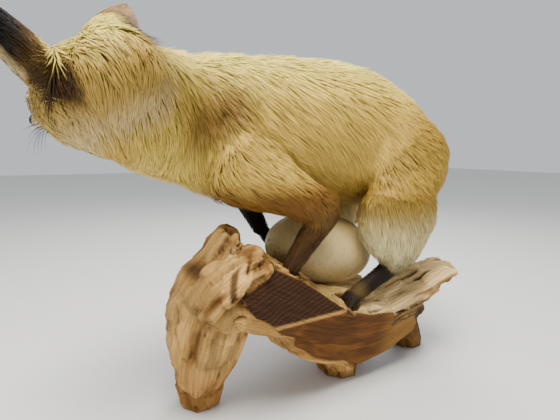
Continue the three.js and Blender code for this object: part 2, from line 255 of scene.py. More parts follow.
def far_away(p):
    """Distances to skin and coat, place along and round the form, and lie, for points far from it."""
    count = len(p)
    return np.full(count, FAR), np.full(count, FAR), np.zeros(count), np.zeros(count), np.zeros((count, 3))


class Loft:
    """A round form along a curved spine, with the coat's depth and the way its hair lies."""

    def __init__(self, name, rows, count, across=(0, 1, 0), cap=0.6, hair=1, fall=0.0, blend=12, lie=None):
        rows = np.asarray(rows, float)
        self.name = name
        self.blend = blend
        self.fall = fall
        self.hair = hair
        self.lie = lie
        self.middle = curve(rows[:, :3], count)
        girth = curve(rows[:, 3:5], count)
        depth = np.interp(np.linspace(0, len(rows) - 1, count), np.arange(len(rows)), rows[:, 5])
        self.girth = np.column_stack([girth, depth])
        step = np.diff(self.middle, axis=0)
        self.head = unit(step)
        wide = np.asarray(across, float) - self.head * (self.head @ np.asarray(across, float))[:, None]
        self.wide = unit(wide)
        self.high = np.cross(self.head, self.wide)
        self.cap = cap
        reach = self.girth[:, :2].max() + 26
        self.low = self.middle.min(0) - reach
        self.top = self.middle.max(0) + reach

    def measure(self, p, full=False):
        """Distances to the skin and to the coat's outside; with full, where on the form as well."""
        skin, outer, along, turn, lie = far_away(p)
        near = np.flatnonzero(((p > self.low) & (p < self.top)).all(1))
        if not len(near):
            return skin, outer, along, turn, lie
        q_all = p[near]
        best = np.full(len(near), FAR)
        best_out = best.copy()
        last = len(self.head) - 1
        for i in range(last + 1):
            start = self.middle[i]
            step = self.middle[i + 1] - start
            off = q_all - start
            share = np.clip(off @ step / (step @ step), 0, 1)
            q = off - share[:, None] * step
            x = q @ self.wide[i]
            y = q @ self.high[i]
            z = q @ self.head[i]
            w, h, depth = (self.girth[i, :, None] * (1 - share) + self.girth[i + 1, :, None] * share)
            for which, less in ((0, depth), (1, 0)):
                a = w - less
                b = h - less
                end = ((share <= 0) & (i == 0)) | ((share >= 1) & (i == last))
                c = np.minimum(a, b) * np.where(end, self.cap, 1)
                k1 = np.sqrt((x / a) ** 2 + (y / b) ** 2 + (z / c) ** 2)
                k2 = np.sqrt((x / a**2) ** 2 + (y / b**2) ** 2 + (z / c**2) ** 2) + 1e-6
                d = k1 * (k1 - 1) / k2
                if which:
                    best_out = np.minimum(best_out, d)
                else:
                    closer = d < best
                    best = np.where(closer, d, best)
                    if full:
                        along[near[closer]] = (i + share[closer]) / (last + 1)
                        turn[near[closer]] = np.arctan2(y[closer], x[closer]) / (2 * math.pi) + 0.5
                        lie[near[closer]] = self.head[i] * self.hair if self.lie is None else self.lie
        skin[near] = best
        outer[near] = best_out
        if full:
            lie[near] += np.array([0, 0, -self.fall])
        return skin, outer, along, turn, lie


def egg_distance(p, centre, radii, spin=None):
    q = p - np.asarray(centre, float)
    if spin is not None:
        q = q @ spin
    r = np.asarray(radii, float)
    k1 = np.sqrt(((q / r) ** 2).sum(1))
    k2 = np.sqrt(((q / r**2) ** 2).sum(1)) + 1e-6
    return k1 * (k1 - 1) / k2


def limb_rows(start, end, profile):
    start = np.asarray(start, float)
    end = np.asarray(end, float)
    return [[*(start + (end - start) * share), wide, tall, depth] for share, wide, tall, depth in profile]


class Ear:
    """A cupped blade; its shell is thinner than the solid by the ear's short fur."""

    def __init__(self, side):
        self.up = unit(EAR_LEAN[side])
        facing = np.asarray(EAR_FACING[side], float)
        self.facing = unit(facing - self.up * (facing @ self.up))
        self.across = np.cross(self.facing, self.up)
        self.foot = np.array([side * EAR_APART / 2, 0, -EAR_BELOW]) - self.up * EAR_ROOT
        self.total = EAR_LENGTH + EAR_ROOT

    def local(self, h):
        """Rise from 0 to 1, sideways and forward place, and the half width there."""
        off = h - self.foot
        rise = off @ self.up / self.total
        level = np.clip(rise, 0, 0.97)
        half = EAR_WIDTH / 2 * (1 - level) ** 0.85 * (0.95 + 1.1 * level)
        return rise, level, off @ self.across, off @ self.facing, half

    def cup(self, h):
        """Rise, sideways and forward place, half width, wall, and distance to the outside of the cup."""
        rise, level, x, f, half = self.local(h)
        cup = half * (0.95 - 0.5 * level)
        wall = EAR_WALL * (1.3 - 0.75 * level)
        f = f - cup * 0.45
        a = np.maximum(half - EAR_FUR, 1)
        b = np.maximum(cup - EAR_FUR, 1)
        k1 = np.sqrt((x / a) ** 2 + (f / b) ** 2)
        k2 = np.sqrt((x / a**2) ** 2 + (f / b**2) ** 2) + 1e-6
        return rise, x, f, a, wall, k1 * (k1 - 1) / k2

    def distance(self, h):
        rise, x, f, a, wall, rim = self.cup(h)
        shell = np.abs(rim + wall / 2) - wall / 2
        edge = np.hypot(np.abs(x) - np.maximum(a - wall / 2, 0), f) - wall / 2
        blade = np.where(f <= 0, shell, edge)
        beyond = np.maximum(np.abs(rise - 0.485) - 0.485, 0) * self.total
        return np.hypot(np.maximum(blade, 0), beyond) + np.minimum(blade, 0)

    def inside(self, h):
        """How much a point belongs to the hollow side, from 0 to 1."""
        rise, _, _, _, wall, rim = self.cup(h)
        return smooth(0.35, 0.75, -rim / wall) * smooth(-0.05, 0.1, rise)


EARS = {side: Ear(side) for side in (-1, 1)}


class Eye:
    def __init__(self, side):
        self.centre = np.array([side * EYE_APART / 2, EYE_AHEAD, -EYE_BELOW])
        self.out = unit((side * GAZE[0], GAZE[1], GAZE[2]))
        # The slit of the lids runs from the low inner corner to the higher outer one.
        slit = np.array([side * 0.86, -0.42, 0.42])
        self.slit = unit(slit - self.out * (slit @ self.out))
        self.rise = np.cross(self.slit, self.out) * side
        if self.rise[2] < 0:
            self.rise = -self.rise

    def local(self, h):
        off = h - self.centre
        return off @ self.slit, off @ self.rise, off @ self.out

    def opening(self, h):
        """Distance to the almond between the lids, seen along the gaze."""
        x, y, z = self.local(h)
        span = 7.6
        tall = np.where(y > 0, 4.4, 3.4)
        arch = tall * np.maximum(1 - (x / span) ** 2, 0) ** 0.8
        return np.maximum(np.abs(y) - arch, np.abs(x) - span), z


EYES = {side: Eye(side) for side in (-1, 1)}

skull = Loft("head", SKULL_ROWS, 17, across=(1, 0, 0), hair=-1)
jaw = Loft("jaw", JAW_ROWS, 9, across=(1, 0, 0), hair=-1)

# The lips' line in the head's frame, for its right side.
LIPS = np.array(
    [[0.5, 122, -66], [7, 118, -67], [11.5, 106, -68.5], [15.5, 90, -68], [19.5, 74, -66], [23, 60, -63]]
)


def to_line(p, line):
    """Distance to a polyline, and how far along it from 0 to 1."""
    best = np.full(len(p), FAR)
    along = np.zeros(len(p))
    for i in range(len(line) - 1):
        step = line[i + 1] - line[i]
        share = np.clip((p - line[i]) @ step / (step @ step), 0, 1)
        d = np.linalg.norm(p - line[i] - share[:, None] * step, axis=1)
        closer = d < best
        best = np.where(closer, d, best)
        along = np.where(closer, (i + share) / (len(line) - 1), along)
    return best, along


HEAD_REACH = 150.0


def head_measure(p, full=False):
    """The skull, cheeks, brow, jaw, lids and ears as one form."""
    skin, outer, along, turn, lie = far_away(p)
    near = np.flatnonzero(np.linalg.norm(p - from_head([0, 30, -30]), axis=1) < HEAD_REACH)
    if not len(near):
        return skin, outer, along, turn, lie
    h = in_head(p[near])
    s, o, a, t, way = skull.measure(h, full)
    jaw_skin = jaw.measure(h)[0]
    for side in (-1, 1):
        centre = (side * CHEEK_CENTRE[0], *CHEEK_CENTRE[1:])
        spin = turned("Z", side * CHEEK_TURN)
        o = np.minimum(o, egg_distance(h, centre, CHEEK_RADII, spin))
        s = smin(s, egg_distance(h, centre, np.subtract(CHEEK_RADII, CHEEK_DEPTH), spin), 16)
    spin = turned("X", BROW_TURN)
    o = np.minimum(o, egg_distance(h, BROW_CENTRE, BROW_RADII, spin))
    s = smin(s, egg_distance(h, BROW_CENTRE, np.subtract(BROW_RADII, BROW_DEPTH), spin), 12)
    s = smin(s, jaw_skin, 3.0)
    mirrored = np.column_stack([np.abs(h[:, 0]), h[:, 1:]])
    lips, share = to_line(mirrored, LIPS)
    s = np.maximum(s, -(lips - (1.3 - 0.5 * share)))
    for eye in EYES.values():
        ball = np.linalg.norm(h - eye.centre, axis=1)
        s = smin(s, ball - LID_RADIUS, 5)
        gap, out = eye.opening(h)
        cut = np.maximum(gap, 2.0 - out)
        s = np.maximum(s, -cut)
    blade = np.minimum(EARS[-1].distance(h), EARS[1].distance(h))
    s = smin(s, blade, 7)
    o = np.minimum(o, blade - EAR_FUR)
    skin[near] = s
    outer[near] = o
    if full:
        # Hair runs back from the nose, out over the cheeks, and up along the ears.
        side = np.sign(h[:, 0])
        way = np.tile([0.0, -1.0, 0.0], (len(h), 1))
        out = smooth(8, 34, np.abs(h[:, 0])) * smooth(-20, -60, h[:, 2])
        way[:, 0] += side * 0.45 * out * smooth(95, 30, h[:, 1])
        way[:, 2] -= 0.55 * out * smooth(95, 30, h[:, 1])
        behind = smooth(22, -14, h[:, 1]) * smooth(-6, -40, h[:, 2])
        hanging = np.array([0.0, 0.0, -1.0]) @ HEAD_AXES
        way = way * (1 - 0.35 * behind[:, None]) + hanging * 1.5 * behind[:, None]
        cheek = smooth(70, 30, h[:, 1]) * smooth(12, 34, np.abs(h[:, 0])) * smooth(-8, -30, h[:, 2])
        way = way + hanging * 0.9 * cheek[:, None]
        for ear in EARS.values():
            rise = ear.local(h)[0]
            on_ear = smooth(9, 2, ear.distance(h)) * smooth(0.12, 0.3, rise)
            way = way * (1 - on_ear[:, None]) + ear.up * on_ear[:, None]
            a = np.where(on_ear > 0.5, 0.5 + 0.45 * np.clip(rise, 0, 1), a * 0.5)
        lie[near] = way @ HEAD_AXES.T
        along[near] = a
        turn[near] = t
    return skin, outer, along, turn, lie


class Paw:
    def __init__(self, name, start, toe, width, reach):
        self.name = name
        self.toe = np.asarray(toe, float)
        self.ahead = unit(self.toe - np.asarray(start, float))
        self.across = unit(np.cross(self.ahead, (0, 0, 1)))
        self.lift = np.cross(self.across, self.ahead)
        self.reach = reach
        across = tuple(self.across)
        rows = [
            [*self.spot(-reach * 1.1, 0, 0), width * 0.62, width * 0.6, PAW_DEPTH],
            [*self.spot(-reach * 0.4, 0, 0), width, width * 0.7, PAW_DEPTH],
            [*self.spot(reach * 0.1, 0, -1), width * 0.95, width * 0.55, PAW_DEPTH],
        ]
        self.pad = Loft(name, rows, 5, across=across, blend=5)
        self.toes = []
        self.claws = []
        for place in TOE_PLACES:
            length = reach * (0.8 - 0.15 * abs(place))
            line = place * width * 0.5
            thick = width * 0.33
            root = self.spot(-reach * 0.1, line * 0.9, -width * 0.05)
            end = self.spot(length, line * 1.12, -width * 0.18)
            toe_rows = [[*root, thick, thick, 1.2], [*end, thick * 0.92, thick * 0.85, 1.2]]
            self.toes.append(Loft(name, toe_rows, 3, across=across, cap=0.9))
            point = self.spot(length + width * 0.62, line * 1.16, -width * 0.42)
            self.claws.append((end, point))

    def spot(self, a, s, u):
        return self.toe + self.ahead * a + self.across * s + self.lift * u

    def measure(self, p, full=False):
        skin, outer, along, turn, lie = self.pad.measure(p, full)
        near = np.flatnonzero(np.linalg.norm(p - self.toe, axis=1) < self.reach * 2 + 14)
        if len(near):
            s = skin[near]
            o = outer[near]
            for toe in self.toes:
                ts, to, _, _, _ = toe.measure(p[near], False)
                s = smin(s, ts, 2.2)
                o = np.minimum(o, to)
            skin[near] = s
            outer[near] = o
        if full:
            lie[:] = self.ahead
        return skin, outer, along, turn, lie


FORMS = [
    Loft("trunk", TRUNK_ROWS, 13, hair=1, fall=0.95, blend=1),
    Loft("neck", NECK_ROWS, 8, hair=-1, fall=2.6, cap=0.25, blend=22),
]


class Throat:
    """The ruff under the head, whose hair hangs down and back."""

    name = "throat"
    blend = 26

    @staticmethod
    def measure(p, full=False):
        skin = egg_distance(p, THROAT_CENTRE, np.subtract(THROAT_RADII, THROAT_DEPTH))
        outer = egg_distance(p, THROAT_CENTRE, THROAT_RADII)
        way = np.tile([0.5, 0.1, -1.0], (len(p), 1)) if full else np.zeros((len(p), 3))
        flat = (p - np.asarray(THROAT_CENTRE, float)) @ np.array([[0.011], [0.0], [0.0]])
        turn = np.arctan2(p[:, 1] - THROAT_CENTRE[1], p[:, 2] - THROAT_CENTRE[2]) / (2 * math.pi) + 0.5
        return skin, outer, np.clip(flat[:, 0] + 0.5, 0, 1), turn, way


FORMS.append(Throat)


class HeadForm:
    name = "head"
    blend = 26
    measure = staticmethod(head_measure)


FORMS.append(HeadForm)
PAWS = []
for leg, (shoulder, elbow, wrist, toe) in FORELEG.items():
    cuff = np.asarray(wrist) + (np.asarray(toe, float) - wrist) * 0.1
    FORMS.append(Loft("upper_" + leg, limb_rows(shoulder, elbow, UPPER_ARM), 6, fall=0.3, blend=24))
    FORMS.append(Loft("lower_" + leg, limb_rows(elbow, cuff, FOREARM), 6, blend=9))
    PAWS.append(Paw("forepaw_" + leg, wrist, toe, *PAW_SIZE["fore"]))
for leg, (hip, knee, hock, toe) in HINDLEG.items():
    FORMS.append(Loft("thigh_" + leg, limb_rows(hip, knee, THIGH), 6, lie=(0.62, 0, -0.8), blend=38))
    FORMS.append(Loft("shank_" + leg, limb_rows(knee, hock, SHANK), 6, fall=0.4, blend=34))
    FORMS.append(Loft("foot_" + leg, limb_rows(hock, toe, HOCK_TO_TOE), 7, blend=8))
    PAWS.append(Paw("hindpaw_" + leg, hock, toe, *PAW_SIZE["hind"]))
for paw in PAWS:
    paw.blend = 5
    FORMS.append(paw)
FORMS.append(Loft("tail", TAIL_ROWS, 15, across=(0, 0, 1), blend=16))


def skin_distance(p):
    total = np.full(len(p), FAR)
    for form in FORMS:
        total = smin(total, form.measure(p)[0], form.blend)
    return total


def gradient(p, step=0.6):
    corners = np.array([[1, -1, -1], [-1, -1, 1], [-1, 1, -1], [1, 1, 1]], float)
    total = np.zeros_like(p)
    for corner in corners:
        total += corner * skin_distance(p + corner * step)[:, None]
    return unit(total)


def slope(p, value, step=0.8):
    """The way out of the skin, from the distance already known at the points."""
    total = np.empty_like(p)
    for axis_index in range(3):
        ahead = p.copy()
        ahead[:, axis_index] += step
        total[:, axis_index] = skin_distance(ahead) - value
    return unit(total)


def survey(p):
    """Everything the coat needs at points on the skin."""
    total = np.full(len(p), FAR)
    outer = np.full(len(p), FAR)
    nearest = np.full(len(p), FAR)
    owner = np.zeros(len(p), int)
    along = np.zeros(len(p))
    turn = np.zeros(len(p))
    lie = np.zeros((len(p), 3))
    weight_sum = np.full(len(p), 1e-9)
    shares = {}
    for index, form in enumerate(FORMS):
        s, o, a, t, way = form.measure(p, True)
        total = smin(total, s, form.blend)
        outer = np.minimum(outer, o)
        closer = s < nearest
        nearest = np.where(closer, s, nearest)
        owner = np.where(closer, index, owner)
        along = np.where(closer, a, along)
        turn = np.where(closer, t, turn)
        weight = np.exp(-np.clip(s, -30, 200) / 7)
        lie += way * weight[:, None]
        weight_sum += weight
        shares[form.name] = weight
    lie /= weight_sum[:, None]
    for name in shares:
        shares[name] = shares[name] / weight_sum
    return {"depth": -outer, "owner": owner, "along": along, "turn": turn, "lie": lie, "shares": shares}


# ---------------------------------------------------------------- one closed mesh of a distance field
NET_BLOCK = 4
OUTSIDE = 9.0


def from_corner(array, corner, shape):
    """The part of an array that starts at this corner and has this shape."""
    return array[tuple(slice(low_end, low_end + size) for low_end, size in zip(corner, shape))]


def net(axes, field):
    """Surface nets on a grid of uneven steps, looked at closely only near the surface."""
    padded = []
    for axis in axes:
        extra = (1 - len(axis)) % NET_BLOCK
        step = axis[-1] - axis[-2]
        padded.append(np.concatenate([axis, axis[-1] + step * np.arange(1, extra + 1)]))
    axes = padded
    rough = [axis[::NET_BLOCK] for axis in axes]
    grid = np.stack(np.meshgrid(*rough, indexing="ij"), -1)
    coarse = field(grid.reshape(-1, 3)).reshape(grid.shape[:3])
    spans = np.meshgrid(*[np.diff(axis) for axis in rough], indexing="ij")
    diagonal = np.sqrt(sum(span**2 for span in spans))
    closest = np.min([np.abs(from_corner(coarse, corner, diagonal.shape)) for corner in CORNERS], 0)
    live = closest < diagonal * 0.8
    shape = tuple(len(axis) for axis in axes)
    filled = coarse[:-1, :-1, :-1]
    for axis_index in range(3):
        filled = np.repeat(filled, NET_BLOCK, axis_index)
        live = np.repeat(live, NET_BLOCK, axis_index)
    value = np.full(shape, OUTSIDE, np.float32)
    value[:-1, :-1, :-1] = filled
    nodes = np.zeros(shape, bool)
    for corner in CORNERS:
        view = from_corner(nodes, corner, live.shape)
        np.logical_or(view, live, out=view)
    where = np.nonzero(nodes)
    points = np.column_stack([axes[i][where[i]] for i in range(3)])
    value[where] = field(points)
    inside = value < 0
    keys = []
    crossings = []
    quads = []
    strides = np.array([shape[1] * shape[2], shape[2], 1])
    for axis_index in range(3):
        ahead = [slice(None)] * 3
        behind = [slice(None)] * 3
        ahead[axis_index] = slice(1, None)
        behind[axis_index] = slice(None, -1)
        edge = np.nonzero(inside[tuple(ahead)] != inside[tuple(behind)])
        start = np.column_stack(edge)
        end = start.copy()
        end[:, axis_index] += 1
        v0 = value[tuple(start.T)]
        v1 = value[tuple(end.T)]
        share = (v0 / (v0 - v1))[:, None]
        p0 = np.column_stack([axes[i][start[:, i]] for i in range(3)])
        p1 = np.column_stack([axes[i][end[:, i]] for i in range(3)])
        point = p0 + (p1 - p0) * share
        u, v = (axis_index + 1) % 3, (axis_index + 2) % 3
        around = []
        for du, dv in ((0, 0), (-1, 0), (-1, -1), (0, -1)):
            cell = start.copy()
            cell[:, u] += du
            cell[:, v] += dv
            key = cell @ strides
            around.append(key)
            keys.append(key)
            crossings.append(point)
        quad = np.column_stack(around)
        flipped = v0 > v1
        quad[flipped] = quad[flipped][:, ::-1]
        quads.append(quad)
    keys = np.concatenate(keys)
    crossings = np.concatenate(crossings)
    cells, place = np.unique(keys, return_inverse=True)
    count = np.bincount(place)
    vertices = np.column_stack([np.bincount(place, crossings[:, i]) / count for i in range(3)])
    faces = np.searchsorted(cells, np.concatenate(quads))
    return vertices, faces


def make_mesh(name, vertices, faces, smooth_faces=True):
    """A mesh object from layout points; faces is an array of equal-sided polygons or a list of them."""
    mesh = bpy.data.meshes.new(name)
    groups = faces if isinstance(faces, list) else [faces]
    vertices = to_row(vertices)
    mesh.vertices.add(len(vertices))
    mesh.vertices.foreach_set("co", vertices.astype(np.float32).ravel())
    sizes = np.concatenate([np.full(len(g), g.shape[1]) for g in groups])
    loops = np.concatenate([g.ravel() for g in groups])
    mesh.loops.add(len(loops))
    mesh.loops.foreach_set("vertex_index", loops.astype(np.int32))
    mesh.polygons.add(len(sizes))
    starts = np.concatenate([[0], np.cumsum(sizes)[:-1]])
    mesh.polygons.foreach_set("loop_start", starts.astype(np.int32))
    mesh.polygons.foreach_set("use_smooth", np.full(len(sizes), smooth_faces))
    mesh.update(calc_edges=True)
    made = bpy.data.objects.new(name, mesh)
    bpy.context.scene.collection.objects.link(made)
    return made


def paint(piece, colours, name="Col"):
    """Stores linear colours on the vertices."""
    attribute = piece.data.color_attributes.new(name, "FLOAT_COLOR", "POINT")
    rgba = np.ones((len(colours), 4), np.float32)
    rgba[:, :3] = colours
    attribute.data.foreach_set("color", rgba.ravel())


def grid_axis(low_end, high_end, fine_low, fine_high, fine, rough):
    """Grid lines, fine in the middle range and growing steadily outside it."""
    lines = list(np.arange(fine_low, fine_high + fine, fine))
    step = fine
    while lines[-1] < high_end:
        step = min(step * 1.12, rough)
        lines.append(lines[-1] + step)
    step = fine
    while lines[0] > low_end:
        step = min(step * 1.12, rough)
        lines.insert(0, lines[0] - step)
    return np.array(lines)


# ---------------------------------------------------------------- colours of the coat
def tone(red, green, blue):
    """A colour from its usual 0 to 255 numbers, as linear light."""
    c = np.array([red, green, blue]) / 255
    return np.where(c <= 0.04045, c / 12.92, ((c + 0.055) / 1.055) ** 2.4)


STRAW = tone(216, 178, 82)
GOLD = tone(176, 138, 58)
PALE = tone(252, 228, 112)
CREAM = tone(238, 214, 152)
WHITE = tone(232, 222, 200)
RUST = tone(130, 88, 30)
BROWN = tone(78, 52, 24)
DARK = tone(44, 32, 24)
BLACK = tone(26, 19, 14)
EAR_BACK_RIGHT = tone(150, 112, 62)
LIP = tone(20, 15, 13)
MOUTH_RED = tone(92, 34, 28)


def spot(p, centre, radii):
    """A soft egg-shaped patch: 1 at its middle, 0 outside."""
    k = np.sqrt((((p - np.asarray(centre, float)) / np.asarray(radii, float)) ** 2).sum(1))
    return smooth(1.0, 0.35, k)


def toward(colours, target, amount):
    amount = np.clip(amount, 0, 1)[:, None]
    return colours * (1 - amount) + target * amount


def layered(colours, *marks):
    """Lays marks over the colours in turn: each is a colour and how much of it there is."""
    for colour, amount in marks:
        colours = toward(colours, colour, amount)
    return colours


def coat_colours(p, facts):
    """The markings, as linear colours at points on the body."""
    share = facts["shares"]
    height = p[:, 2]
    c = np.tile(STRAW, (len(p), 1))
    trunk = share["trunk"]
    neck = share["neck"]
    c = layered(
        c,
        # Paler along the top of the trunk and neck, and deeper gold low on the trunk: the coat's own tone,
        # with painted light from above and painted shade below.
        (PALE, smooth(365, 435, height) * (trunk + neck) * 0.95),
        (GOLD, smooth(345, 285, height) * trunk * 0.75),
        (PALE, smooth(392, 360, height) * neck * 0.45),
        (CREAM, smooth(310, 280, height) * neck * 0.75),
        # Painted shade on the lower near flank, under the side of the body.
        (tone(112, 84, 34), spot(p, (10, -62, 262), (110, 70, 44)) * 0.9),
        (tone(106, 70, 22), spot(p, (-158, -62, 384), (62, 70, 60)) * 0.95),
        (tone(120, 82, 28), spot(p, (-150, 96, 380), (62, 70, 60)) * 0.8),
        (tone(214, 180, 104), spot(p, (70, -80, 300), (60, 50, 46)) * 0.5),
    )
    for leg in ("left", "right"):
        thigh = share["thigh_" + leg] + share["shank_" + leg]
        c = layered(
            c,
            (tone(182, 144, 56), thigh * 0.85),
            (tone(246, 228, 168), share["shank_" + leg] * smooth(265, 225, height) * 0.95),
            (DARK, share["foot_" + leg] * 1.3),
            (tone(60, 44, 28), share["shank_" + leg] * smooth(215, 180, height) * 0.6),
        )
        upper = share["upper_" + leg]
        c = toward(c, RUST, upper * smooth(302, 268, height) * 1.1)
        lower = share["lower_" + leg]
        c = layered(
            c,
            (tone(86, 56, 20), lower * 1.3),
            (BROWN, lower * smooth(232, 196, height)),
            (DARK, share["forepaw_" + leg] * 1.3 + share["hindpaw_" + leg] * 1.3),
        )
    c = toward(c, BLACK, (share["lower_right"] + share["forepaw_right"]) * 1.2)
    c = toward(c, BROWN, share["upper_right"] * smooth(320, 270, height))
    tail = share["tail"]
    c = layered(
        c,
        (tone(214, 178, 108), tail),
        (tone(96, 72, 44), tail * (0.35 + 0.3 * noise(p, 14, 3))),
        (WHITE, tail * smooth(70, 36, p[:, 0])),
    )
    # the face
    h = in_head(p)
    x = np.abs(h[:, 0])
    y = h[:, 1]
    z = h[:, 2]
    face = share["head"]
    c = toward(c, tone(186, 140, 46), spot(p, (-254, -112, 402), (56, 60, 36)) * 0.8)
    head_colour = np.tile(tone(222, 186, 96), (len(p), 1))
    head_colour = layered(
        head_colour,
        (tone(186, 146, 62), smooth(-10, -30, z) * smooth(20, -10, y) * 0.7),
        # Paler on the crown: the head's own tone, with painted light from above.
        (PALE, smooth(-24, -4, z) * smooth(60, 20, y) * 0.9),
        (tone(196, 148, 84), smooth(30, 70, y) * smooth(22, 6, x) * 0.8),
        (tone(228, 200, 136), smooth(-40, -70, z) * smooth(40, 0, y)),
    )
    white = smooth(-52, -66, z) * smooth(40, 62, y)
    white = np.maximum(white, smooth(4, 9, x) * smooth(-50, -56, z) * smooth(80, 96, y))
    white = np.maximum(white, smooth(-62, -80, z) * smooth(10, 40, y))
    head_colour = toward(head_colour, WHITE, white)
    for side, eye in EYES.items():
        gap, out = eye.opening(h)
        head_colour = toward(head_colour, tone(212, 178, 116), smooth(17, 6, gap) * (out > -6))
        inner = eye.centre - eye.slit * 8.5
        tear = np.array([inner, inner + [-side * 3, 12, -4], inner + [-side * 3.5, 26, -12]])
        off, way = to_line(h, tear)
        head_colour = toward(head_colour, tone(70, 44, 26), smooth(4.2 - 2 * way, 1.2, off) * 0.85)
        head_colour = toward(head_colour, BLACK, smooth(2.6, 1.1, gap) * (out > 0))
    mirrored = np.column_stack([x, y, z])
    off, way = to_line(mirrored, LIPS)
    head_colour = toward(head_colour, LIP, smooth(2.6, 1.5, off))
    head_colour = toward(head_colour, MOUTH_RED, smooth(1.6, 0.6, off) * smooth(0.8, 0.95, way) * 0.8)
    for row in range(4):
        for place in range(4):
            dot = np.array([7 + row * 1.6 + place * 0.6, 112 - place * 6, -57 - row * 2.6])
            off = np.linalg.norm(mirrored - dot, axis=1)
            head_colour = toward(head_colour, BROWN, smooth(1.5, 0.7, off) * 0.7)
    behind = np.maximum(spot(h, (-49, -13, -22), (27, 27, 34)), spot(h, (49, -13, -22), (27, 27, 34)) * 0.8)
    behind = np.maximum(behind, spot(h, (-48, -20, -36), (14, 14, 18)) * 0.8)
    head_colour = toward(head_colour, tone(74, 50, 22), behind * 1.3)
    for side, ear in EARS.items():
        rise = ear.local(h)[0]
        on_ear = smooth(7, 1.5, ear.distance(h)) * smooth(0.2, 0.3, rise)
        back = BLACK if side < 0 else EAR_BACK_RIGHT
        shade = toward(np.tile(back, (len(p), 1)), tone(104, 74, 34), smooth(0.5, 0.3, rise) * 0.8)
        shade *= (1 + 0.5 * noise(p, 7, 14))[:, None]
        rim = np.clip(np.abs(ear.local(h)[2]) / np.maximum(ear.local(h)[4], 1), 0, 1)
        shade = layered(
            shade,
            (CREAM, smooth(0.86, 0.98, rim) * smooth(0.95, 0.75, rise) * 0.8),
            (tone(206, 190, 156), ear.inside(h)),
            (tone(120, 84, 60), ear.inside(h) * smooth(0.55, 0.35, rise) * 0.7),
        )
        head_colour = head_colour * (1 - on_ear[:, None]) + shade * on_ear[:, None]
    on_face = smooth(0.25, 0.75, face)
    c = c * (1 - on_face[:, None]) + head_colour * on_face[:, None]
    speckle = 1 + 0.10 * noise(p, 34, 11) + 0.08 * noise(p, 9, 12)
    return np.clip(c * speckle[:, None], 0.003, 0.9)


# ---------------------------------------------------------------- materials
def material(name, roughness, specular=0.3, **sockets):
    made = bpy.data.materials.new(name)
    made.use_nodes = True
    shader = made.node_tree.nodes["Principled BSDF"]
    shader.inputs["Roughness"].default_value = roughness
    shader.inputs["Specular IOR Level"].default_value = specular
    for socket, value in sockets.items():
        shader.inputs[socket.replace("_", " ")].default_value = value
    return made


def node(made, kind, **settings):
    new = made.node_tree.nodes.new(kind)
    for key, value in settings.items():
        setattr(new, key, value)
    return new


def link(made, start, end):
    made.node_tree.links.new(start, end)


def painted(made, size, strength, bump, bump_size, coordinates=None, distance=0.001):
    """Colour from the painted vertices, broken up by a fine noise that also gives the bump."""
    shader = made.node_tree.nodes["Principled BSDF"]
    colour = node(made, "ShaderNodeVertexColor", layer_name="Col")
    if coordinates:
        place = node(made, "ShaderNodeAttribute", attribute_name=coordinates).outputs["Vector"]
    else:
        place = node(made, "ShaderNodeTexCoord").outputs["Object"]
    grain = node(made, "ShaderNodeTexNoise")
    grain.inputs["Scale"].default_value = size
    grain.inputs["Detail"].default_value = 5
    grain.inputs["Roughness"].default_value = 0.65
    link(made, place, grain.inputs["Vector"])
    spread = node(made, "ShaderNodeMapRange")
    spread.inputs["From Min"].default_value = 0.3
    spread.inputs["From Max"].default_value = 0.7
    spread.inputs["To Min"].default_value = 1 - strength
    spread.inputs["To Max"].default_value = 1 + strength * 0.6
    link(made, grain.outputs["Fac"], spread.inputs["Value"])
    mix = node(made, "ShaderNodeVectorMath", operation="SCALE")
    link(made, colour.outputs["Color"], mix.inputs[0])
    link(made, spread.outputs["Result"], mix.inputs["Scale"])
    link(made, mix.outputs["Vector"], shader.inputs["Base Color"])
    if bump:
        rough = node(made, "ShaderNodeTexNoise")
        rough.inputs["Scale"].default_value = bump_size
        rough.inputs["Detail"].default_value = 4
        link(made, place, rough.inputs["Vector"])
        lift = node(made, "ShaderNodeBump")
        lift.inputs["Strength"].default_value = bump
        lift.inputs["Distance"].default_value = distance
        link(made, rough.outputs["Fac"], lift.inputs["Height"])
        link(made, lift.outputs["Normal"], shader.inputs["Normal"])
    return made


fur_material = painted(material("fur", 0.62, 0.25), 900, 0.10, 0, 0)
skin_material = painted(material("skin", 0.8, 0.15), 700, 0.25, 0.7, 1400)
wood_material = painted(
    material("driftwood", 0.78, 0.2), 1.0, 0.45, 1.0, 2.2, coordinates="Grain", distance=0.002
)
stone_material = painted(material("stone", 0.42, 0.4), 1500, 0.16, 0.25, 700)
nose_material = painted(material("nose", 0.38, 0.5), 800, 0.2, 0.7, 1500)
eye_material = painted(material("eye", 0.08, 0.6, Coat_Weight=0.8, Coat_Roughness=0.02), 2500, 0.12, 0, 0)
claw_material = painted(material("claw", 0.35, 0.5), 600, 0.3, 0, 0)

# ---------------------------------------------------------------- the skin
FLESH = [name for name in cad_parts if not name.startswith(("base_", "eye_")) and name != "nose"]
FINE = 1.7
ROUGH = 3.9
skin_axes = [
    grid_axis(-362, 262, -350, -238, FINE, ROUGH),
    grid_axis(-160, 200, -140, 40, FINE, ROUGH),
    grid_axis(105, 485, 335, 470, FINE, ROUGH),
]
skin_points, skin_quads = net(skin_axes, skin_distance)
for _ in range(2):
    off = np.clip(skin_distance(skin_points), -0.8, 0.8)
    skin_points = skin_points - gradient(skin_points) * off[:, None]
skin_normals = gradient(skin_points)
skin_facts = survey(skin_points)
skin = make_mesh("skin", skin_points, skin_quads)
skin_colours = coat_colours(skin_points, skin_facts)
undercoat = 1 - 0.35 * smooth(4, 14, skin_facts["depth"])
paint(skin, skin_colours * undercoat[:, None])
skin.data.materials.append(skin_material)
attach(skin, "root")
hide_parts(*FLESH)

# ---------------------------------------------------------------- the coat
STONE_RADII = np.array([81.0, 54.0, 51.0])
STONE_SPIN = turned("Y", 11)
MOUNT_TOP = 240
wood_tree = BVHTree.FromObject(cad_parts["base_driftwood"], bpy.context.evaluated_depsgraph_get())


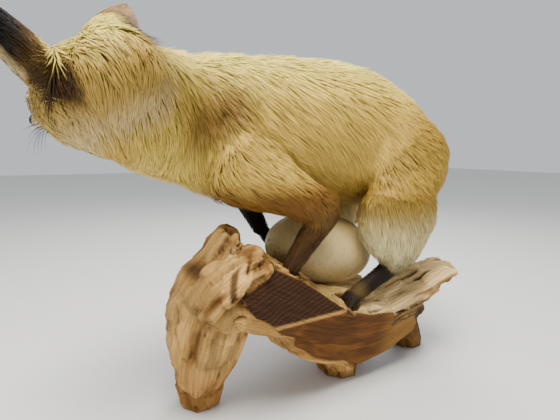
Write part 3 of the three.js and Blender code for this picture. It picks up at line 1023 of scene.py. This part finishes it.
def in_mount(points):
    """Which points are inside the stone or the driftwood."""
    inside = egg_distance(points, STONE_CENTRE, STONE_RADII, STONE_SPIN) < 0.5
    rows = to_row(points)
    for index in np.flatnonzero(points[:, 2] < MOUNT_TOP):
        place, normal, _, _ = wood_tree.find_nearest(Vector(rows[index]), 0.02)
        if place is not None and (Vector(rows[index]) - place).dot(normal) < 0:
            inside[index] = True
    return inside


def sample(count_at):
    """Random roots on the skin: count_at gives how many per square millimetre at each vertex."""
    c = skin_points[skin_quads]
    area = 0.5 * np.linalg.norm(np.cross(c[:, 2] - c[:, 0], c[:, 3] - c[:, 1]), axis=1)
    wanted = area * count_at[skin_quads].mean(1)
    total = int(wanted.sum())
    sums = np.cumsum(wanted)
    picks = np.searchsorted(sums, (np.arange(total) + rng.random(total)) * sums[-1] / total)
    picks = np.clip(picks, 0, len(wanted) - 1)
    u = rng.random(len(picks))[:, None]
    v = rng.random(len(picks))[:, None]
    made = []
    for values in (skin_points, skin_normals):
        c = values[skin_quads[picks]]
        made.append((c[:, 0] * (1 - u) + c[:, 1] * u) * (1 - v) + (c[:, 3] * (1 - u) + c[:, 2] * u) * v)
    return made[0], unit(made[1])


def layers(p):
    skin_here = np.full(len(p), FAR)
    outer = np.full(len(p), FAR)
    for form in FORMS:
        s, o, _, _, _ = form.measure(p)
        skin_here = smin(skin_here, s, form.blend)
        outer = np.minimum(outer, o)
    return skin_here, outer


def flow_noise(p):
    """Wandering of the lie, in radians."""
    return 0.30 * noise(p, 55, 21) + 0.26 * noise(p, 20, 22) + 0.14 * noise(p, 8, 23)


# Where the rings of a tuft stand, as shares of its length from the root.
RING_SHARES = (0.5, 1.0)
MOST_MOVE = 14


def comb(root, normal, facts, length, lift):
    """Rings of points along each tuft, from its root to its tip."""
    lie = facts["lie"]
    lie = unit(lie - normal * (lie * normal).sum(1)[:, None])
    bend = flow_noise(root) + rng.normal(0, 0.10, len(root))
    side = np.cross(normal, lie)
    way = lie * np.cos(bend)[:, None] + side * np.sin(bend)[:, None]
    rings = [root]
    normals = [normal]
    here = root
    done = 0.0
    for share in RING_SHARES:
        run = (share - done) * length
        done = share
        here = here + way * run[:, None]
        skin_here, outer = layers(here)
        up = slope(here, skin_here)
        depth = np.clip(skin_here - outer, 0.6, 30)
        height = depth * lift * (1 - (1 - share) ** 1.7) + 0.3
        here = here + up * np.clip(height - skin_here, -MOST_MOVE, MOST_MOVE)[:, None]
        rings.append(here)
        normals.append(up)
        way = unit(way - up * (way * up).sum(1)[:, None])
    return np.stack(rings, 1), np.stack(normals, 1)


def clump(rings, group, strength):
    """Draws the tips towards those of a leading tuft nearby, so that the coat falls in locks."""
    leaders = rng.choice(len(rings), max(len(rings) // group, 1), replace=False)
    tree = KDTree(len(leaders))
    for index, leader in enumerate(leaders):
        tree.insert(rings[leader, 0], index)
    tree.balance()
    nearest = np.array([tree.find(root)[1] for root in rings[:, 0]])
    lead = leaders[nearest]
    away = rings[:, 0] - rings[lead, 0]
    far = np.linalg.norm(away, axis=1)
    pull = strength * rng.uniform(0.35, 1.0, len(rings)) * smooth(26, 10, far)
    shares = np.linspace(0, 1, rings.shape[1]) ** 1.2
    target = rings[lead] + away[:, None, :] * 0.22
    amount = pull[:, None, None] * shares[None, :, None]
    return rings * (1 - amount) + target * amount, nearest


def blades(rings, normals, width, profile, roll):
    """Three-sided tapering blades; gives points of each blade and the faces of one."""
    count, levels, _ = rings.shape
    ahead = unit(np.gradient(rings, axis=1))
    across = unit(np.cross(normals, ahead))
    ridge = np.cross(ahead, across)
    turn = roll[:, None, None]
    across, ridge = across * np.cos(turn) + ridge * np.sin(turn), ridge * np.cos(turn) - across * np.sin(turn)
    half = (width[:, None] * np.asarray(profile)[None, :])[:, :, None] * 0.5
    left = rings[:, :-1] - across[:, :-1] * half
    right = rings[:, :-1] + across[:, :-1] * half
    top = rings[:, :-1] + ridge[:, :-1] * half * 0.8
    body = np.stack([left, top, right], 2).reshape(count, -1, 3)
    points = np.concatenate([body, rings[:, -1:]], 1)
    lean = across[:, :-1] * 0.45
    facing = np.stack([normals[:, :-1] - lean, normals[:, :-1], normals[:, :-1] + lean], 2)
    facing = unit(np.concatenate([facing.reshape(count, -1, 3), normals[:, -1:]], 1))
    quads = []
    for level in range(levels - 2):
        a = level * 3
        for i in range(3):
            j = (i + 1) % 3
            quads.append([a + 3 + i, a + 3 + j, a + j, a + i])
    last = (levels - 2) * 3
    tip = last + 3
    triangles = [[last + (i + 1) % 3, last + i, tip] for i in range(3)]
    triangles.append([0, 1, 2])
    return points, facing, np.array(quads), np.array(triangles)


FORM_COLUMNS = 5


def unwrap(owner, along, turn):
    """The skin's own unwrap: each form has a rectangle, run along by its length and its turn."""
    across = owner % FORM_COLUMNS + 0.05 + 0.9 * along
    up = owner // FORM_COLUMNS + 0.05 + 0.9 * turn
    return np.column_stack([across, up]) / FORM_COLUMNS


PIECE_TRIANGLES = 190000
BAKE_PATCH = 0.003
ROOT_SHADE = 0.55
TIP_SHADE = 1.1


def grow(name, roots, outward, length, width, lift, profile, group=0, strength=0.0):
    """Makes the tufts at these roots and joins them into pieces."""
    facts = survey(roots)
    rings, normals = comb(roots, outward, facts, length, lift)
    nearest = np.zeros(len(roots), int)
    if group:
        rings, nearest = clump(rings, group * 7, strength * 0.45)
        rings, nearest = clump(rings, group, strength)
    clear = ~in_mount(rings[:, 0])
    for level in range(1, rings.shape[1]):
        clear &= ~in_mount(rings[:, level])
    roots, rings, normals, nearest = roots[clear], rings[clear], normals[clear], nearest[clear]
    length, width = length[clear], width[clear]
    facts = {
        key: ({k: v[clear] for k, v in value.items()} if isinstance(value, dict) else value[clear])
        for key, value in facts.items()
    }
    rings[:, 0] -= normals[:, 0] * 0.5
    roll = rng.normal(0, 0.35, len(roots))
    points, facing, quads, triangles = blades(rings, normals, width, profile, roll)
    colours = coat_colours(roots, facts)
    clump_tone = 1 + 0.06 * np.sin(nearest * 12.9898) if group else 1.0
    own = clump_tone * (1 + rng.normal(0, 0.12, len(roots)))
    colours = colours * np.clip(own, 0.55, 1.5)[:, None]
    levels = len(profile)
    shades = np.linspace(ROOT_SHADE, TIP_SHADE, levels + 1)
    per_point = np.concatenate([np.repeat(shades[:-1], 3), shades[-1:]])
    tinted = colours[:, None, :] * per_point[None, :, None]
    place = unwrap(facts["owner"], facts["along"], facts["turn"])
    patch = [[level / levels, i / 2] for level in range(levels) for i in range(3)] + [[1.0, 0.5]]
    spots = place[:, None, :] + (np.array(patch) - 0.5)[None, :, :] * BAKE_PATCH
    per_tuft = len(quads) * 2 + len(triangles)
    batch = PIECE_TRIANGLES // per_tuft
    size = points.shape[1]
    for number, start in enumerate(range(0, len(points), batch)):
        part = points[start : start + batch]
        base = (np.arange(len(part)) * size)[:, None, None]
        four = (base + quads[None]).reshape(-1, 4)
        three = (base + triangles[None]).reshape(-1, 3)
        piece = make_mesh(f"{name}_{number + 1}", part.reshape(-1, 3), [four, three])
        paint(piece, tinted[start : start + batch].reshape(-1, 3))
        uv = piece.data.uv_layers.new(name="OFBake")
        corner = np.empty(len(piece.data.loops), np.int32)
        piece.data.loops.foreach_get("vertex_index", corner)
        flat = spots[start : start + batch].reshape(-1, 2)
        uv.data.foreach_set("uv", flat[corner].astype(np.float32).ravel())
        shown = facing[start : start + batch].reshape(-1, 3)
        piece.data.normals_split_custom_set_from_vertices(shown.tolist())
        piece.data.materials.append(fur_material)
        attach(piece, "root")


skin_depth = skin_facts["depth"]
h_skin = in_head(skin_points)
eye_gap = np.minimum(EYES[-1].opening(h_skin)[0], EYES[1].opening(h_skin)[0])
eye_out = np.maximum(EYES[-1].opening(h_skin)[1], EYES[1].opening(h_skin)[1])
bare = (eye_gap < 2.2) & (eye_out > -4)
lip_off = to_line(np.column_stack([np.abs(h_skin[:, 0]), h_skin[:, 1:]]), LIPS)[0]
bare |= lip_off < 2.6
bare |= np.linalg.norm((h_skin - NOSE_CENTRE) / (NOSE_RADII + 1.5), axis=1) < 1
# The depth of coat, in millimetres, from which the fur is long.
LONG_FROM = 7.0
SHORT_SPACING = 2.9
LOCK_SIZE = 12
LOCK_PULL = 0.6


def calm(p):
    """How much the face, and the ground round the ears, hold their hair short and flat."""
    h = in_head(p)
    on_head = smooth(16, 4, head_measure(p)[0])
    face = smooth(-16, 14, h[:, 1]) * on_head
    ear_gap = np.minimum(EARS[-1].distance(h), EARS[1].distance(h))
    return face, smooth(30, 9, ear_gap) * on_head


skin_face, skin_round_ears = calm(skin_points)
long_density = smooth(LONG_FROM - 2, LONG_FROM + 2, skin_depth) / np.interp(skin_depth, [6, 20], [2.3, 3.0])
long_density *= 1 + 0.9 * np.maximum(skin_face, skin_round_ears)
short_density = smooth(LONG_FROM + 2, LONG_FROM - 2, skin_depth) / SHORT_SPACING * ~bare
long_roots, long_normals = sample(long_density)
depth_there = np.clip(-layers(long_roots)[1], 2, 30)
long_length = np.clip(depth_there * 2.1, 10, 46) * rng.uniform(0.65, 1.15, len(long_roots))
long_width = np.clip(0.7 + 0.022 * long_length, 0.8, 1.7) * rng.uniform(0.7, 1.25, len(long_roots))
long_lift = rng.uniform(0.45, 1.0, len(long_roots))
face, round_ears = calm(long_roots)
long_length *= (1 - 0.4 * face) * (1 - 0.8 * round_ears)
long_width *= 1 - 0.3 * np.maximum(face, round_ears)
long_lift *= (1 - 0.6 * face) * (1 - 0.75 * round_ears)
long_pull = LOCK_PULL * (1 - 0.85 * np.maximum(face, round_ears))
grow(
    "fur_long", long_roots, long_normals, long_length, long_width, long_lift, (0.75, 0.95),
    group=LOCK_SIZE, strength=long_pull,
)
short_roots, short_normals = sample(short_density)
depth_there = np.clip(-layers(short_roots)[1], 0.8, 30)
short_length = np.clip(depth_there * 2.2 + 1.5, 3.0, 16) * rng.uniform(0.7, 1.2, len(short_roots))
ear_share = sum(smooth(5, 1, ear.distance(in_head(short_roots))) for ear in EARS.values())
short_length = short_length * (1 + 1.1 * np.clip(ear_share, 0, 1))
short_width = np.clip(0.35 + 0.07 * short_length, 0.6, 1.2) * rng.uniform(0.8, 1.2, len(short_roots))
short_lift = rng.uniform(0.4, 1.0, len(short_roots))
face, _ = calm(short_roots)
short_lift *= 1 - 0.55 * face
short_width *= 1 - 0.2 * face
grow(
    "fur_short", short_roots, short_normals, short_length, short_width, short_lift, (0.8, 0.9)
)


# ---------------------------------------------------------------- eyes, nose, claws and whiskers
def globe(rings, sides):
    """A unit sphere about +Z with many rings, as points and faces."""
    points = [[0, 0, 1.0]]
    for ring in range(1, rings):
        polar = math.pi * ring / rings
        for i in range(sides):
            turn = 2 * math.pi * i / sides
            flat = math.sin(polar)
            points.append([flat * math.cos(turn), flat * math.sin(turn), math.cos(polar)])
    points.append([0, 0, -1.0])
    quads = []
    for ring in range(rings - 2):
        a = 1 + ring * sides
        for i in range(sides):
            j = (i + 1) % sides
            quads.append([a + i, a + sides + i, a + sides + j, a + j])
    last = len(points) - 1
    caps = []
    for i in range(sides):
        j = (i + 1) % sides
        caps.append([0, 1 + i, 1 + j])
        caps.append([last, last - sides + j, last - sides + i])
    return np.array(points), [np.array(quads), np.array(caps)]


IRIS_RADIUS = 5.8

for side, eye in EYES.items():
    points, faces = globe(72, 96)
    upright = unit(np.array([0, 0, 1.0]) - eye.out * eye.out[2])
    level = np.cross(upright, eye.out)
    local = points[:, :1] * level + points[:, 1:2] * upright + points[:, 2:] * eye.out
    side_name = "left" if side < 0 else "right"
    ball = make_mesh("eyeball_" + side_name, from_head(eye.centre + local * EYE_RADIUS), faces)
    x = points[:, 0] * EYE_RADIUS
    y = points[:, 1] * EYE_RADIUS
    radius = np.hypot(x, y)
    front = points[:, 2] > 0
    angle = np.arctan2(y, x)
    streak = 0.5 + 0.5 * np.sin(angle * 23 + 2 * np.sin(angle * 7))
    colour = np.tile(tone(60, 40, 26), (len(points), 1))
    iris = toward(np.tile(tone(196, 122, 34), (len(points), 1)), tone(120, 66, 16), streak * 0.5)
    iris = toward(iris, tone(214, 160, 70), smooth(2.6, 1.6, radius) * 0.4)
    iris = toward(iris, tone(40, 22, 10), smooth(4.6, 5.6, radius))
    colour = np.where((front & (radius < IRIS_RADIUS))[:, None], iris, colour)
    pupil = np.hypot(x / 1.5, y / 4.0)
    colour = toward(colour, tone(6, 5, 5), smooth(1.08, 0.95, pupil) * front)
    paint(ball, colour)
    ball.data.materials.append(eye_material)
    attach(ball, "root")
    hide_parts("eye_" + side_name)


def nose_distance(p):
    q = (p - NOSE_CENTRE) @ turned("X", -20)
    d = egg_distance(q, (0, 0, 0), NOSE_RADII - 0.5)
    x = np.abs(q[:, 0])
    mirrored = np.column_stack([x, q[:, 1:]])
    nostril = egg_distance(mirrored, (3.9, 6.4, 0.4), (1.9, 3.6, 1.7))
    slit, _ = to_line(mirrored, np.array([[4.6, 6.6, -0.2], [7.4, 4.6, -0.9], [9.2, 1.5, -0.6]]))
    d = np.maximum(d, -np.minimum(nostril, slit - 0.75))
    groove, _ = to_line(mirrored, np.array([[0, 8.4, 2.5], [0, 7.8, -3], [0, 5.5, -7]]))
    return np.maximum(d, -(groove - 0.45))


nose_axes = [np.arange(c - 12, c + 12, 0.5) for c in NOSE_CENTRE]
nose_points, nose_quads = net(nose_axes, nose_distance)
nose = make_mesh("nose_pad", from_head(nose_points), nose_quads)
pore = noise(nose_points, 1.2, 31)
paint(nose, np.clip(tone(24, 20, 19) * (1 + 0.35 * pore)[:, None], 0, 1))
nose.data.materials.append(nose_material)
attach(nose, "root")
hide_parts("nose")


def horns(name, list_of_lines, widths, sides, colours, made_of):
    """Tapering round pieces along lines of points, joined as one mesh."""
    points = []
    quads = []
    caps = []
    tints = []
    for line, width, colour in zip(list_of_lines, widths, colours):
        line = np.asarray(line, float)
        heading = unit(np.gradient(line, axis=0))
        up = np.array([0.0, 0.0, 1.0]) if abs(heading[0][2]) < 0.9 else np.array([1.0, 0, 0])
        across = unit(np.cross(heading, up))
        rise = np.cross(across, heading)
        base = len(points)
        for level in range(len(line) - 1):
            radius = width * (1 - level / (len(line) - 1)) ** 0.7
            for i in range(sides):
                turn = 2 * math.pi * i / sides
                way = math.cos(turn) * across[level] + 1.25 * math.sin(turn) * rise[level]
                points.append(line[level] + radius * way)
                tints.append(colour * (0.7 + 0.5 * level / len(line)))
        points.append(line[-1])
        tints.append(colour)
        tip = len(points) - 1
        for level in range(len(line) - 2):
            for i in range(sides):
                j = (i + 1) % sides
                a = base + level * sides
                quads.append([a + i, a + sides + i, a + sides + j, a + j])
        a = base + (len(line) - 2) * sides
        for i in range(sides):
            caps.append([a + i, tip, a + (i + 1) % sides])
        points.append(line[0])
        tints.append(colour)
        for i in range(sides):
            caps.append([len(points) - 1, base + i, base + (i + 1) % sides])
    piece = make_mesh(name, np.array(points), [np.array(quads), np.array(caps)])
    paint(piece, np.array(tints))
    piece.data.materials.append(made_of)
    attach(piece, "root")


claw_lines = []
claw_tints = []
for paw in PAWS:
    for end, point in paw.claws:
        reach = np.linalg.norm(point - end)
        shares = np.linspace(-0.1, 1, 9)[:, None]
        sag = np.sin(np.clip(shares, 0, 1) * math.pi) * reach * 0.14
        claw_lines.append(end + (point - end) * shares + paw.lift * sag)
        claw_tints.append(tone(96, 82, 62) if "forepaw_right" in paw.name else tone(52, 42, 34))
horns("claws", claw_lines, [2.2] * len(claw_lines), 10, claw_tints, claw_material)

whisker_lines = []
whisker_widths = []
for side in (-1, 1):
    for row in range(4):
        for place in range(4):
            start = np.array([side * (9.5 + row * 1.2 + place * 0.9), 112 - place * 6, -57 - row * 2.6])
            aim = unit(np.array([side * 0.92, -0.30 - 0.08 * place, 0.22 - 0.16 * row]))
            reach = rng.uniform(28, 46)
            shares = np.linspace(0, 1, 8)[:, None]
            droop = np.array([0, -0.25, -0.2]) * reach * shares**2
            whisker_lines.append(from_head(start + aim * reach * shares + droop))
            whisker_widths.append(0.28)
whisker_tints = [tone(30, 24, 20)] * len(whisker_lines)
horns("whiskers", whisker_lines, whisker_widths, 4, whisker_tints, claw_material)

# ---------------------------------------------------------------- driftwood
WOOD_LIMBS = [
    [
        [-163, 16, -14, 24, 20], [-164, 12, 26, 36, 31], [-162, 0, 74, 52, 43], [-156, -14, 122, 58, 48],
        [-146, -22, 164, 55, 44], [-138, -32, 200, 42, 26], [-134, -40, 228, 20, 13],
    ],
    [
        [-136, -38, 166, 54, 40], [-104, -44, 156, 58, 44], [-66, -46, 136, 58, 42], [-24, -42, 112, 56, 36],
        [24, -30, 98, 54, 34], [78, -18, 92, 48, 30],
    ],
    [
        [30, -16, 92, 46, 26], [90, -12, 98, 44, 24], [145, -8, 114, 42, 24], [195, -4, 130, 40, 22],
        [230, 0, 133, 32, 18],
    ],
    [
        [-70, -40, 116, 44, 34], [-20, -30, 84, 44, 38], [30, -4, 52, 44, 36], [44, 16, 10, 38, 30],
        [46, 26, -24, 32, 28],
    ],
    [
        [-110, 10, 140, 52, 40], [-50, 14, 108, 62, 38], [20, 16, 84, 62, 36], [80, 18, 86, 54, 32],
        [126, 14, 98, 44, 26],
    ],
    [
        [-120, 40, 156, 40, 44], [-60, 62, 152, 36, 28], [0, 74, 108, 36, 22], [60, 72, 98, 40, 22],
        [110, 50, 96, 44, 24],
    ],
    [[60, 46, 88, 40, 44], [86, 78, 46, 32, 36], [100, 94, 4, 26, 28], [104, 98, -20, 24, 24]],
    [[128, 8, 90, 38, 34], [172, 24, 54, 30, 30], [198, 36, 8, 24, 24], [204, 40, -20, 22, 22]],
    [[-162, -44, 146, 40, 34], [-138, -50, 176, 42, 36], [-116, -52, 190, 38, 28], [-98, -50, 190, 30, 16]],
    [
        [10, -20, 66, 40, 30], [60, -22, 62, 40, 36], [100, -18, 68, 38, 34], [135, -10, 78, 34, 34],
        [165, -4, 92, 30, 26],
    ],
]
SAW_THROUGH = np.array([-80.0, -91.0, 128.0])
UPPER_SAW = unit((0.15, -1, 0.25))
LOWER_SAW = unit((0.15, -1, -0.32))
# Cracks as lines of points on the log, with half width and depth.
CRACKS = [
    ([[-118, -60, 216], [-127, -84, 200], [-131, -88, 184], [-137, -90, 164], [-144, -86, 146]], 2.2, 12),
    ([[-172, -60, 160], [-168, -64, 144], [-166, -64, 126]], 1.6, 7),
    ([[-138, -86, 150], [-134, -84, 134]], 1.4, 6),
    ([[-196, -30, 168], [-198, -42, 120], [-190, -44, 84]], 1.8, 7),
    ([[-176, 44, 180], [-180, 50, 130], [-172, 42, 80]], 2.0, 8),
    ([[120, -30, 128], [160, -26, 138], [204, -20, 148]], 1.6, 6),
    ([[60, -50, 98], [110, -52, 100], [150, -48, 112]], 1.5, 6),
    ([[-60, 92, 168], [0, 94, 122], [60, 100, 110]], 1.8, 7),
]
# A hole in the log, drawn only as a spot of painted shade, with no hollow cut.
HOLE_SHADE_CENTRE = np.array([-182.0, -40.0, 190.0])
LIMB_FORMS = [
    Loft("limb", [row + [0] for row in rows], len(rows) * 2 - 1, cap=0.5) for rows in WOOD_LIMBS
]


def grain_at(p):
    """Direction of the grain, and coordinates that run with it."""
    way = np.zeros((len(p), 3))
    best = np.full(len(p), FAR)
    place = np.zeros((len(p), 3))
    for form in LIMB_FORMS:
        d, _, along, turn, lie = form.measure(p, True)
        weight = np.exp(-np.clip(d, -40, 60) / 9)
        way += lie * weight[:, None]
        closer = d < best
        best = np.where(closer, d, best)
        length = np.linalg.norm(np.diff(form.middle, axis=0), axis=1).sum()
        angle = turn * 2 * math.pi
        local = np.column_stack([along * length, 40 * np.cos(angle), 40 * np.sin(angle)])
        place = np.where(closer[:, None], local, place)
    return unit(way), place


def grain_paths(p, reach, pace):
    """Points reached by following the grain both ways in even steps."""
    paths = [p]
    for direction in (-1, 1):
        here = p
        for _ in range(reach):
            here = here + grain_at(here)[0] * pace * direction
            paths.append(here)
    return paths


def streaks(paths, size, seed):
    """Noise drawn out along the grain."""
    total = sum(noise(here, size, seed) for here in paths)
    return total / len(paths) * math.sqrt(len(paths) / 2)


def remeshed(node_name, voxel):
    """The CAD piece as a fine even mesh, in layout millimetres."""
    source = bpy.data.objects.new("remesh_source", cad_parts[node_name].data.copy())
    bpy.context.scene.collection.objects.link(source)
    even = source.modifiers.new("even", "REMESH")
    even.mode = "VOXEL"
    even.voxel_size = voxel
    graph = bpy.context.evaluated_depsgraph_get()
    made = bpy.data.meshes.new_from_object(source.evaluated_get(graph))
    points = np.empty(len(made.vertices) * 3, np.float32)
    made.vertices.foreach_get("co", points)
    corners = np.empty(len(made.loops), np.int32)
    made.loops.foreach_get("vertex_index", corners)
    quads = corners.reshape(-1, 4)
    bpy.data.objects.remove(source)
    bpy.data.meshes.remove(made)
    return points.reshape(-1, 3).astype(float) * 1000 - SHIFT, quads


def vertex_normals(points, quads):
    c = points[quads]
    face = np.cross(c[:, 2] - c[:, 0], c[:, 3] - c[:, 1])
    total = np.zeros_like(points)
    for i in range(4):
        for axis_index in range(3):
            total[:, axis_index] += np.bincount(quads[:, i], face[:, axis_index], len(points))
    return unit(total)


def relaxed(points, quads, times):
    """Evens out the steps that voxels leave."""
    edges = np.concatenate([quads[:, [0, 1]], quads[:, [1, 2]], quads[:, [2, 3]], quads[:, [3, 0]]])
    count = np.bincount(edges[:, 0], minlength=len(points)) + np.bincount(edges[:, 1], minlength=len(points))
    for _ in range(times):
        total = np.zeros_like(points)
        for axis_index in range(3):
            total[:, axis_index] = np.bincount(edges[:, 0], points[edges[:, 1], axis_index], len(points))
            total[:, axis_index] += np.bincount(edges[:, 1], points[edges[:, 0], axis_index], len(points))
        points = points * 0.4 + total / count[:, None] * 0.6
    return points


WOOD_VOXEL = 0.00175
DEEPEST = -8
HIGHEST = 3.2

wood_points, wood_quads = remeshed("base_driftwood", WOOD_VOXEL)
wood_points = relaxed(wood_points, wood_quads, 3)
wood_normals = vertex_normals(wood_points, wood_quads)
grain, grain_place = grain_at(wood_points)
saw = np.zeros(len(wood_points))
for normal in (UPPER_SAW, LOWER_SAW):
    flat = np.abs((wood_points - SAW_THROUGH) @ normal)
    saw = np.maximum(saw, smooth(2.5, 0.8, flat) * smooth(0.75, 0.93, wood_normals @ normal))
upper_face = saw * (wood_normals @ UPPER_SAW > wood_normals @ LOWER_SAW)
under = smooth(3, 0.5, wood_points[:, 2])
paths = grain_paths(wood_points, 7, 5.5)
coarse_grain = streaks(paths, 10, 41)
fine_grain = streaks(paths, 3.6, 42)
swell = noise(wood_points, 38, 43) + 0.5 * noise(wood_points, 17, 44)
rough_part = (1 - saw) * (1 - under)
shelves = noise(wood_points + 6 * noise(wood_points, 30, 57)[:, None], 26, 58)
step = smooth(-0.06, 0.06, shelves) - 0.5
grooves = 3.4 * coarse_grain - 2.4 * np.abs(coarse_grain)
move = rough_part * (2.4 * swell + grooves + 1.3 * fine_grain + 2.6 * step)
move += saw * 0.22 * np.sin((wood_points @ unit((1, 0.2, -0.6))) * 1.9 + noise(wood_points, 12, 45))
crack_shade = np.zeros(len(wood_points))
for line, half, deep in CRACKS:
    off, way = to_line(wood_points, np.array(line, float))
    off = off + 1.2 * noise(wood_points, 7, 46)
    taper = np.sin(np.clip(way, 0.03, 0.97) * math.pi) ** 0.5
    dent = smooth(half * 1.6, half * 0.2, off) * taper
    move -= dent * deep * 0.5
    crack_shade = np.maximum(crack_shade, dent)
checks = smooth(0.42, 0.8, streaks(paths, 5.0, 47)) * rough_part
move -= checks * 3.0
wood_points = wood_points + wood_normals * np.clip(move, DEEPEST, HIGHEST)[:, None]
wood_points[:, 2] = np.maximum(wood_points[:, 2], 0)


def wood_tone(red, green, blue):
    """One colour at every point of the wood."""
    return np.tile(tone(red, green, blue), (len(wood_points), 1))


along_log = wood_points[:, 0]
height = wood_points[:, 2]
age = 0.5 + 0.5 * np.clip(noise(wood_points, 60, 48) + 0.5 * noise(wood_points, 24, 49), -1, 1)
# Upward faces on the right part of the wood are painted paler: painted light from above.
painted_top_light = smooth(0, 60, along_log) * smooth(-0.2, 0.3, wood_normals[:, 2])
wood_colour = toward(wood_tone(160, 114, 50), tone(196, 156, 94), age)
wood_colour = layered(
    wood_colour,
    (tone(112, 70, 28), smooth(0.0, -0.8, coarse_grain) * 0.75),
    # Painted light on the upward faces.
    (tone(232, 198, 138), painted_top_light * 0.9),
    # Painted shade on the lower wood to the right, below the right arm.
    (tone(62, 40, 20), smooth(40, 90, along_log) * smooth(104, 84, height) * 0.9),
    (tone(150, 104, 50), smooth(70, 20, height) * 0.5),
)
wood_colour *= np.clip(1 + 0.30 * fine_grain + 0.16 * coarse_grain + 0.25 * step, 0.35, 1.6)[:, None]
saw_line = 0.5 + 0.5 * np.sin((wood_points @ unit((0.35, 0.1, -1.0))) * 1.3 + 2 * noise(wood_points, 14, 59))
upper_tone = toward(wood_tone(40, 22, 9), tone(76, 46, 18), saw_line * 0.6)
lower_tone = toward(wood_tone(92, 54, 17), tone(130, 82, 28), smooth(-0.4, 0.8, streaks(paths, 8, 60)))
lower_tone = toward(lower_tone, tone(164, 120, 54), smooth(60, 110, along_log) * 0.7)
lower_tone = lower_tone * (0.8 + 0.3 * saw_line)[:, None]
edge = smooth(3.2, 1.0, np.abs((wood_points - SAW_THROUGH) @ unit(UPPER_SAW - LOWER_SAW))) * saw
wood_colour = layered(
    wood_colour,
    (upper_tone, upper_face),
    (lower_tone, saw - upper_face),
    (tone(196, 150, 84), edge * 0.8),
    (tone(214, 186, 110), spot(wood_points, (10, -44, 142), (56, 22, 12)) * 0.8),
    # Painted shade in the checks and the cracks, which are pressed into the wood.
    (tone(40, 24, 12), checks * 0.8),
    (tone(20, 12, 7), crack_shade * 0.95),
    # Painted shade for the hole in the log.
    (tone(26, 16, 9), spot(wood_points, HOLE_SHADE_CENTRE, (22, 30, 16)) * 0.9),
)
driftwood = make_mesh("driftwood", wood_points, wood_quads)
paint(driftwood, np.clip(wood_colour, 0.003, 0.9))
grain_attribute = driftwood.data.attributes.new("Grain", "FLOAT_VECTOR", "POINT")
scaled = grain_place * np.array([0.035, 0.42, 0.42])
grain_attribute.data.foreach_set("vector", scaled.astype(np.float32).ravel())
driftwood.data.materials.append(wood_material)
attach(driftwood, "root")
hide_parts("base_driftwood")

# ---------------------------------------------------------------- stone
points, faces = globe(150, 220)
points = points @ turned("X", 90).T
uneven = 1 + 0.010 * noise(points, 0.9, 51) + 0.005 * noise(points, 0.3, 52)
body = (points * (STONE_RADII - 0.4) * uneven[:, None]) @ STONE_SPIN.T + STONE_CENTRE
pits = smooth(0.55, 0.8, noise(body, 2.6, 53)) * smooth(-0.2, 0.3, noise(body, 26, 54))
body -= (body - STONE_CENTRE) / 60 * (pits * 0.5)[:, None]
stone = make_mesh("stone", body, faces)
tint = np.tile(tone(212, 188, 130), (len(body), 1))
tint = layered(
    tint,
    (tone(176, 150, 98), 0.5 + 0.5 * noise(body, 30, 55)),
    (tone(96, 78, 50), pits * 0.7),
    (tone(110, 92, 64), smooth(0.5, 0.8, noise(body, 1.6, 56)) * 0.4),
    # Painted shade on the stone beside the near foreleg.
    (tone(70, 54, 28), spot(body, (-62, -22, 176), (26, 40, 24)) * 0.8),
)
paint(stone, np.clip(tint, 0, 1))
stone.data.materials.append(stone_material)
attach(stone, "root")
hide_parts("base_stone")

# ---------------------------------------------------------------- floor, light and camera
FLOOR_HALF = 6
SKY_COLOUR = (0.86, 0.9, 0.94, 1)
SKY_STRENGTH = 0.75

scene = bpy.context.scene
floor_mesh = bpy.data.meshes.new("floor")
corners = [(-FLOOR_HALF, -FLOOR_HALF, 0), (FLOOR_HALF, -FLOOR_HALF, 0)]
corners += [(FLOOR_HALF, FLOOR_HALF, 0), (-FLOOR_HALF, FLOOR_HALF, 0)]
floor_mesh.from_pydata(corners, [], [(0, 1, 2, 3)])
floor = bpy.data.objects.new("floor", floor_mesh)
scene.collection.objects.link(floor)
floor_material = material("floor", 0.8, 0.2)
floor_material.node_tree.nodes["Principled BSDF"].inputs["Base Color"].default_value = (0.72, 0.71, 0.69, 1)
floor.data.materials.append(floor_material)

world = bpy.data.worlds.new("studio")
world.use_nodes = True
world.node_tree.nodes["Background"].inputs["Color"].default_value = SKY_COLOUR
world.node_tree.nodes["Background"].inputs["Strength"].default_value = SKY_STRENGTH
scene.world = world


LIGHTS_AIM = (0, 0, 0.3)


def soft_light(name, place, size, power, colour):
    lamp = bpy.data.lights.new(name, "AREA")
    lamp.shape = "DISK"
    lamp.size = size
    lamp.energy = power
    lamp.color = colour
    holder = bpy.data.objects.new(name, lamp)
    holder.location = place
    holder.rotation_euler = (Vector(LIGHTS_AIM) - Vector(place)).to_track_quat("-Z", "Y").to_euler()
    scene.collection.objects.link(holder)


soft_light("key", (-0.35, -0.55, 1.65), 0.9, 54, (1.0, 0.97, 0.9))
soft_light("rear", (0.6, 0.9, 1.3), 1.0, 14, (0.95, 0.97, 1.0))

CAMERA_PLACE = (-273, -491, 320)
CAMERA_TILT = 82
CAMERA_TURN = -24
LENS_LENGTH = 27
lens = bpy.data.cameras.new("camera")
lens.lens = LENS_LENGTH
lens.sensor_width = 36
lens.sensor_fit = "HORIZONTAL"
lens.clip_start = 0.01
camera = bpy.data.objects.new("camera", lens)
camera.location = to_row(CAMERA_PLACE)
camera.rotation_euler = (math.radians(CAMERA_TILT), 0, math.radians(CAMERA_TURN))
scene.collection.objects.link(camera)
scene.camera = camera
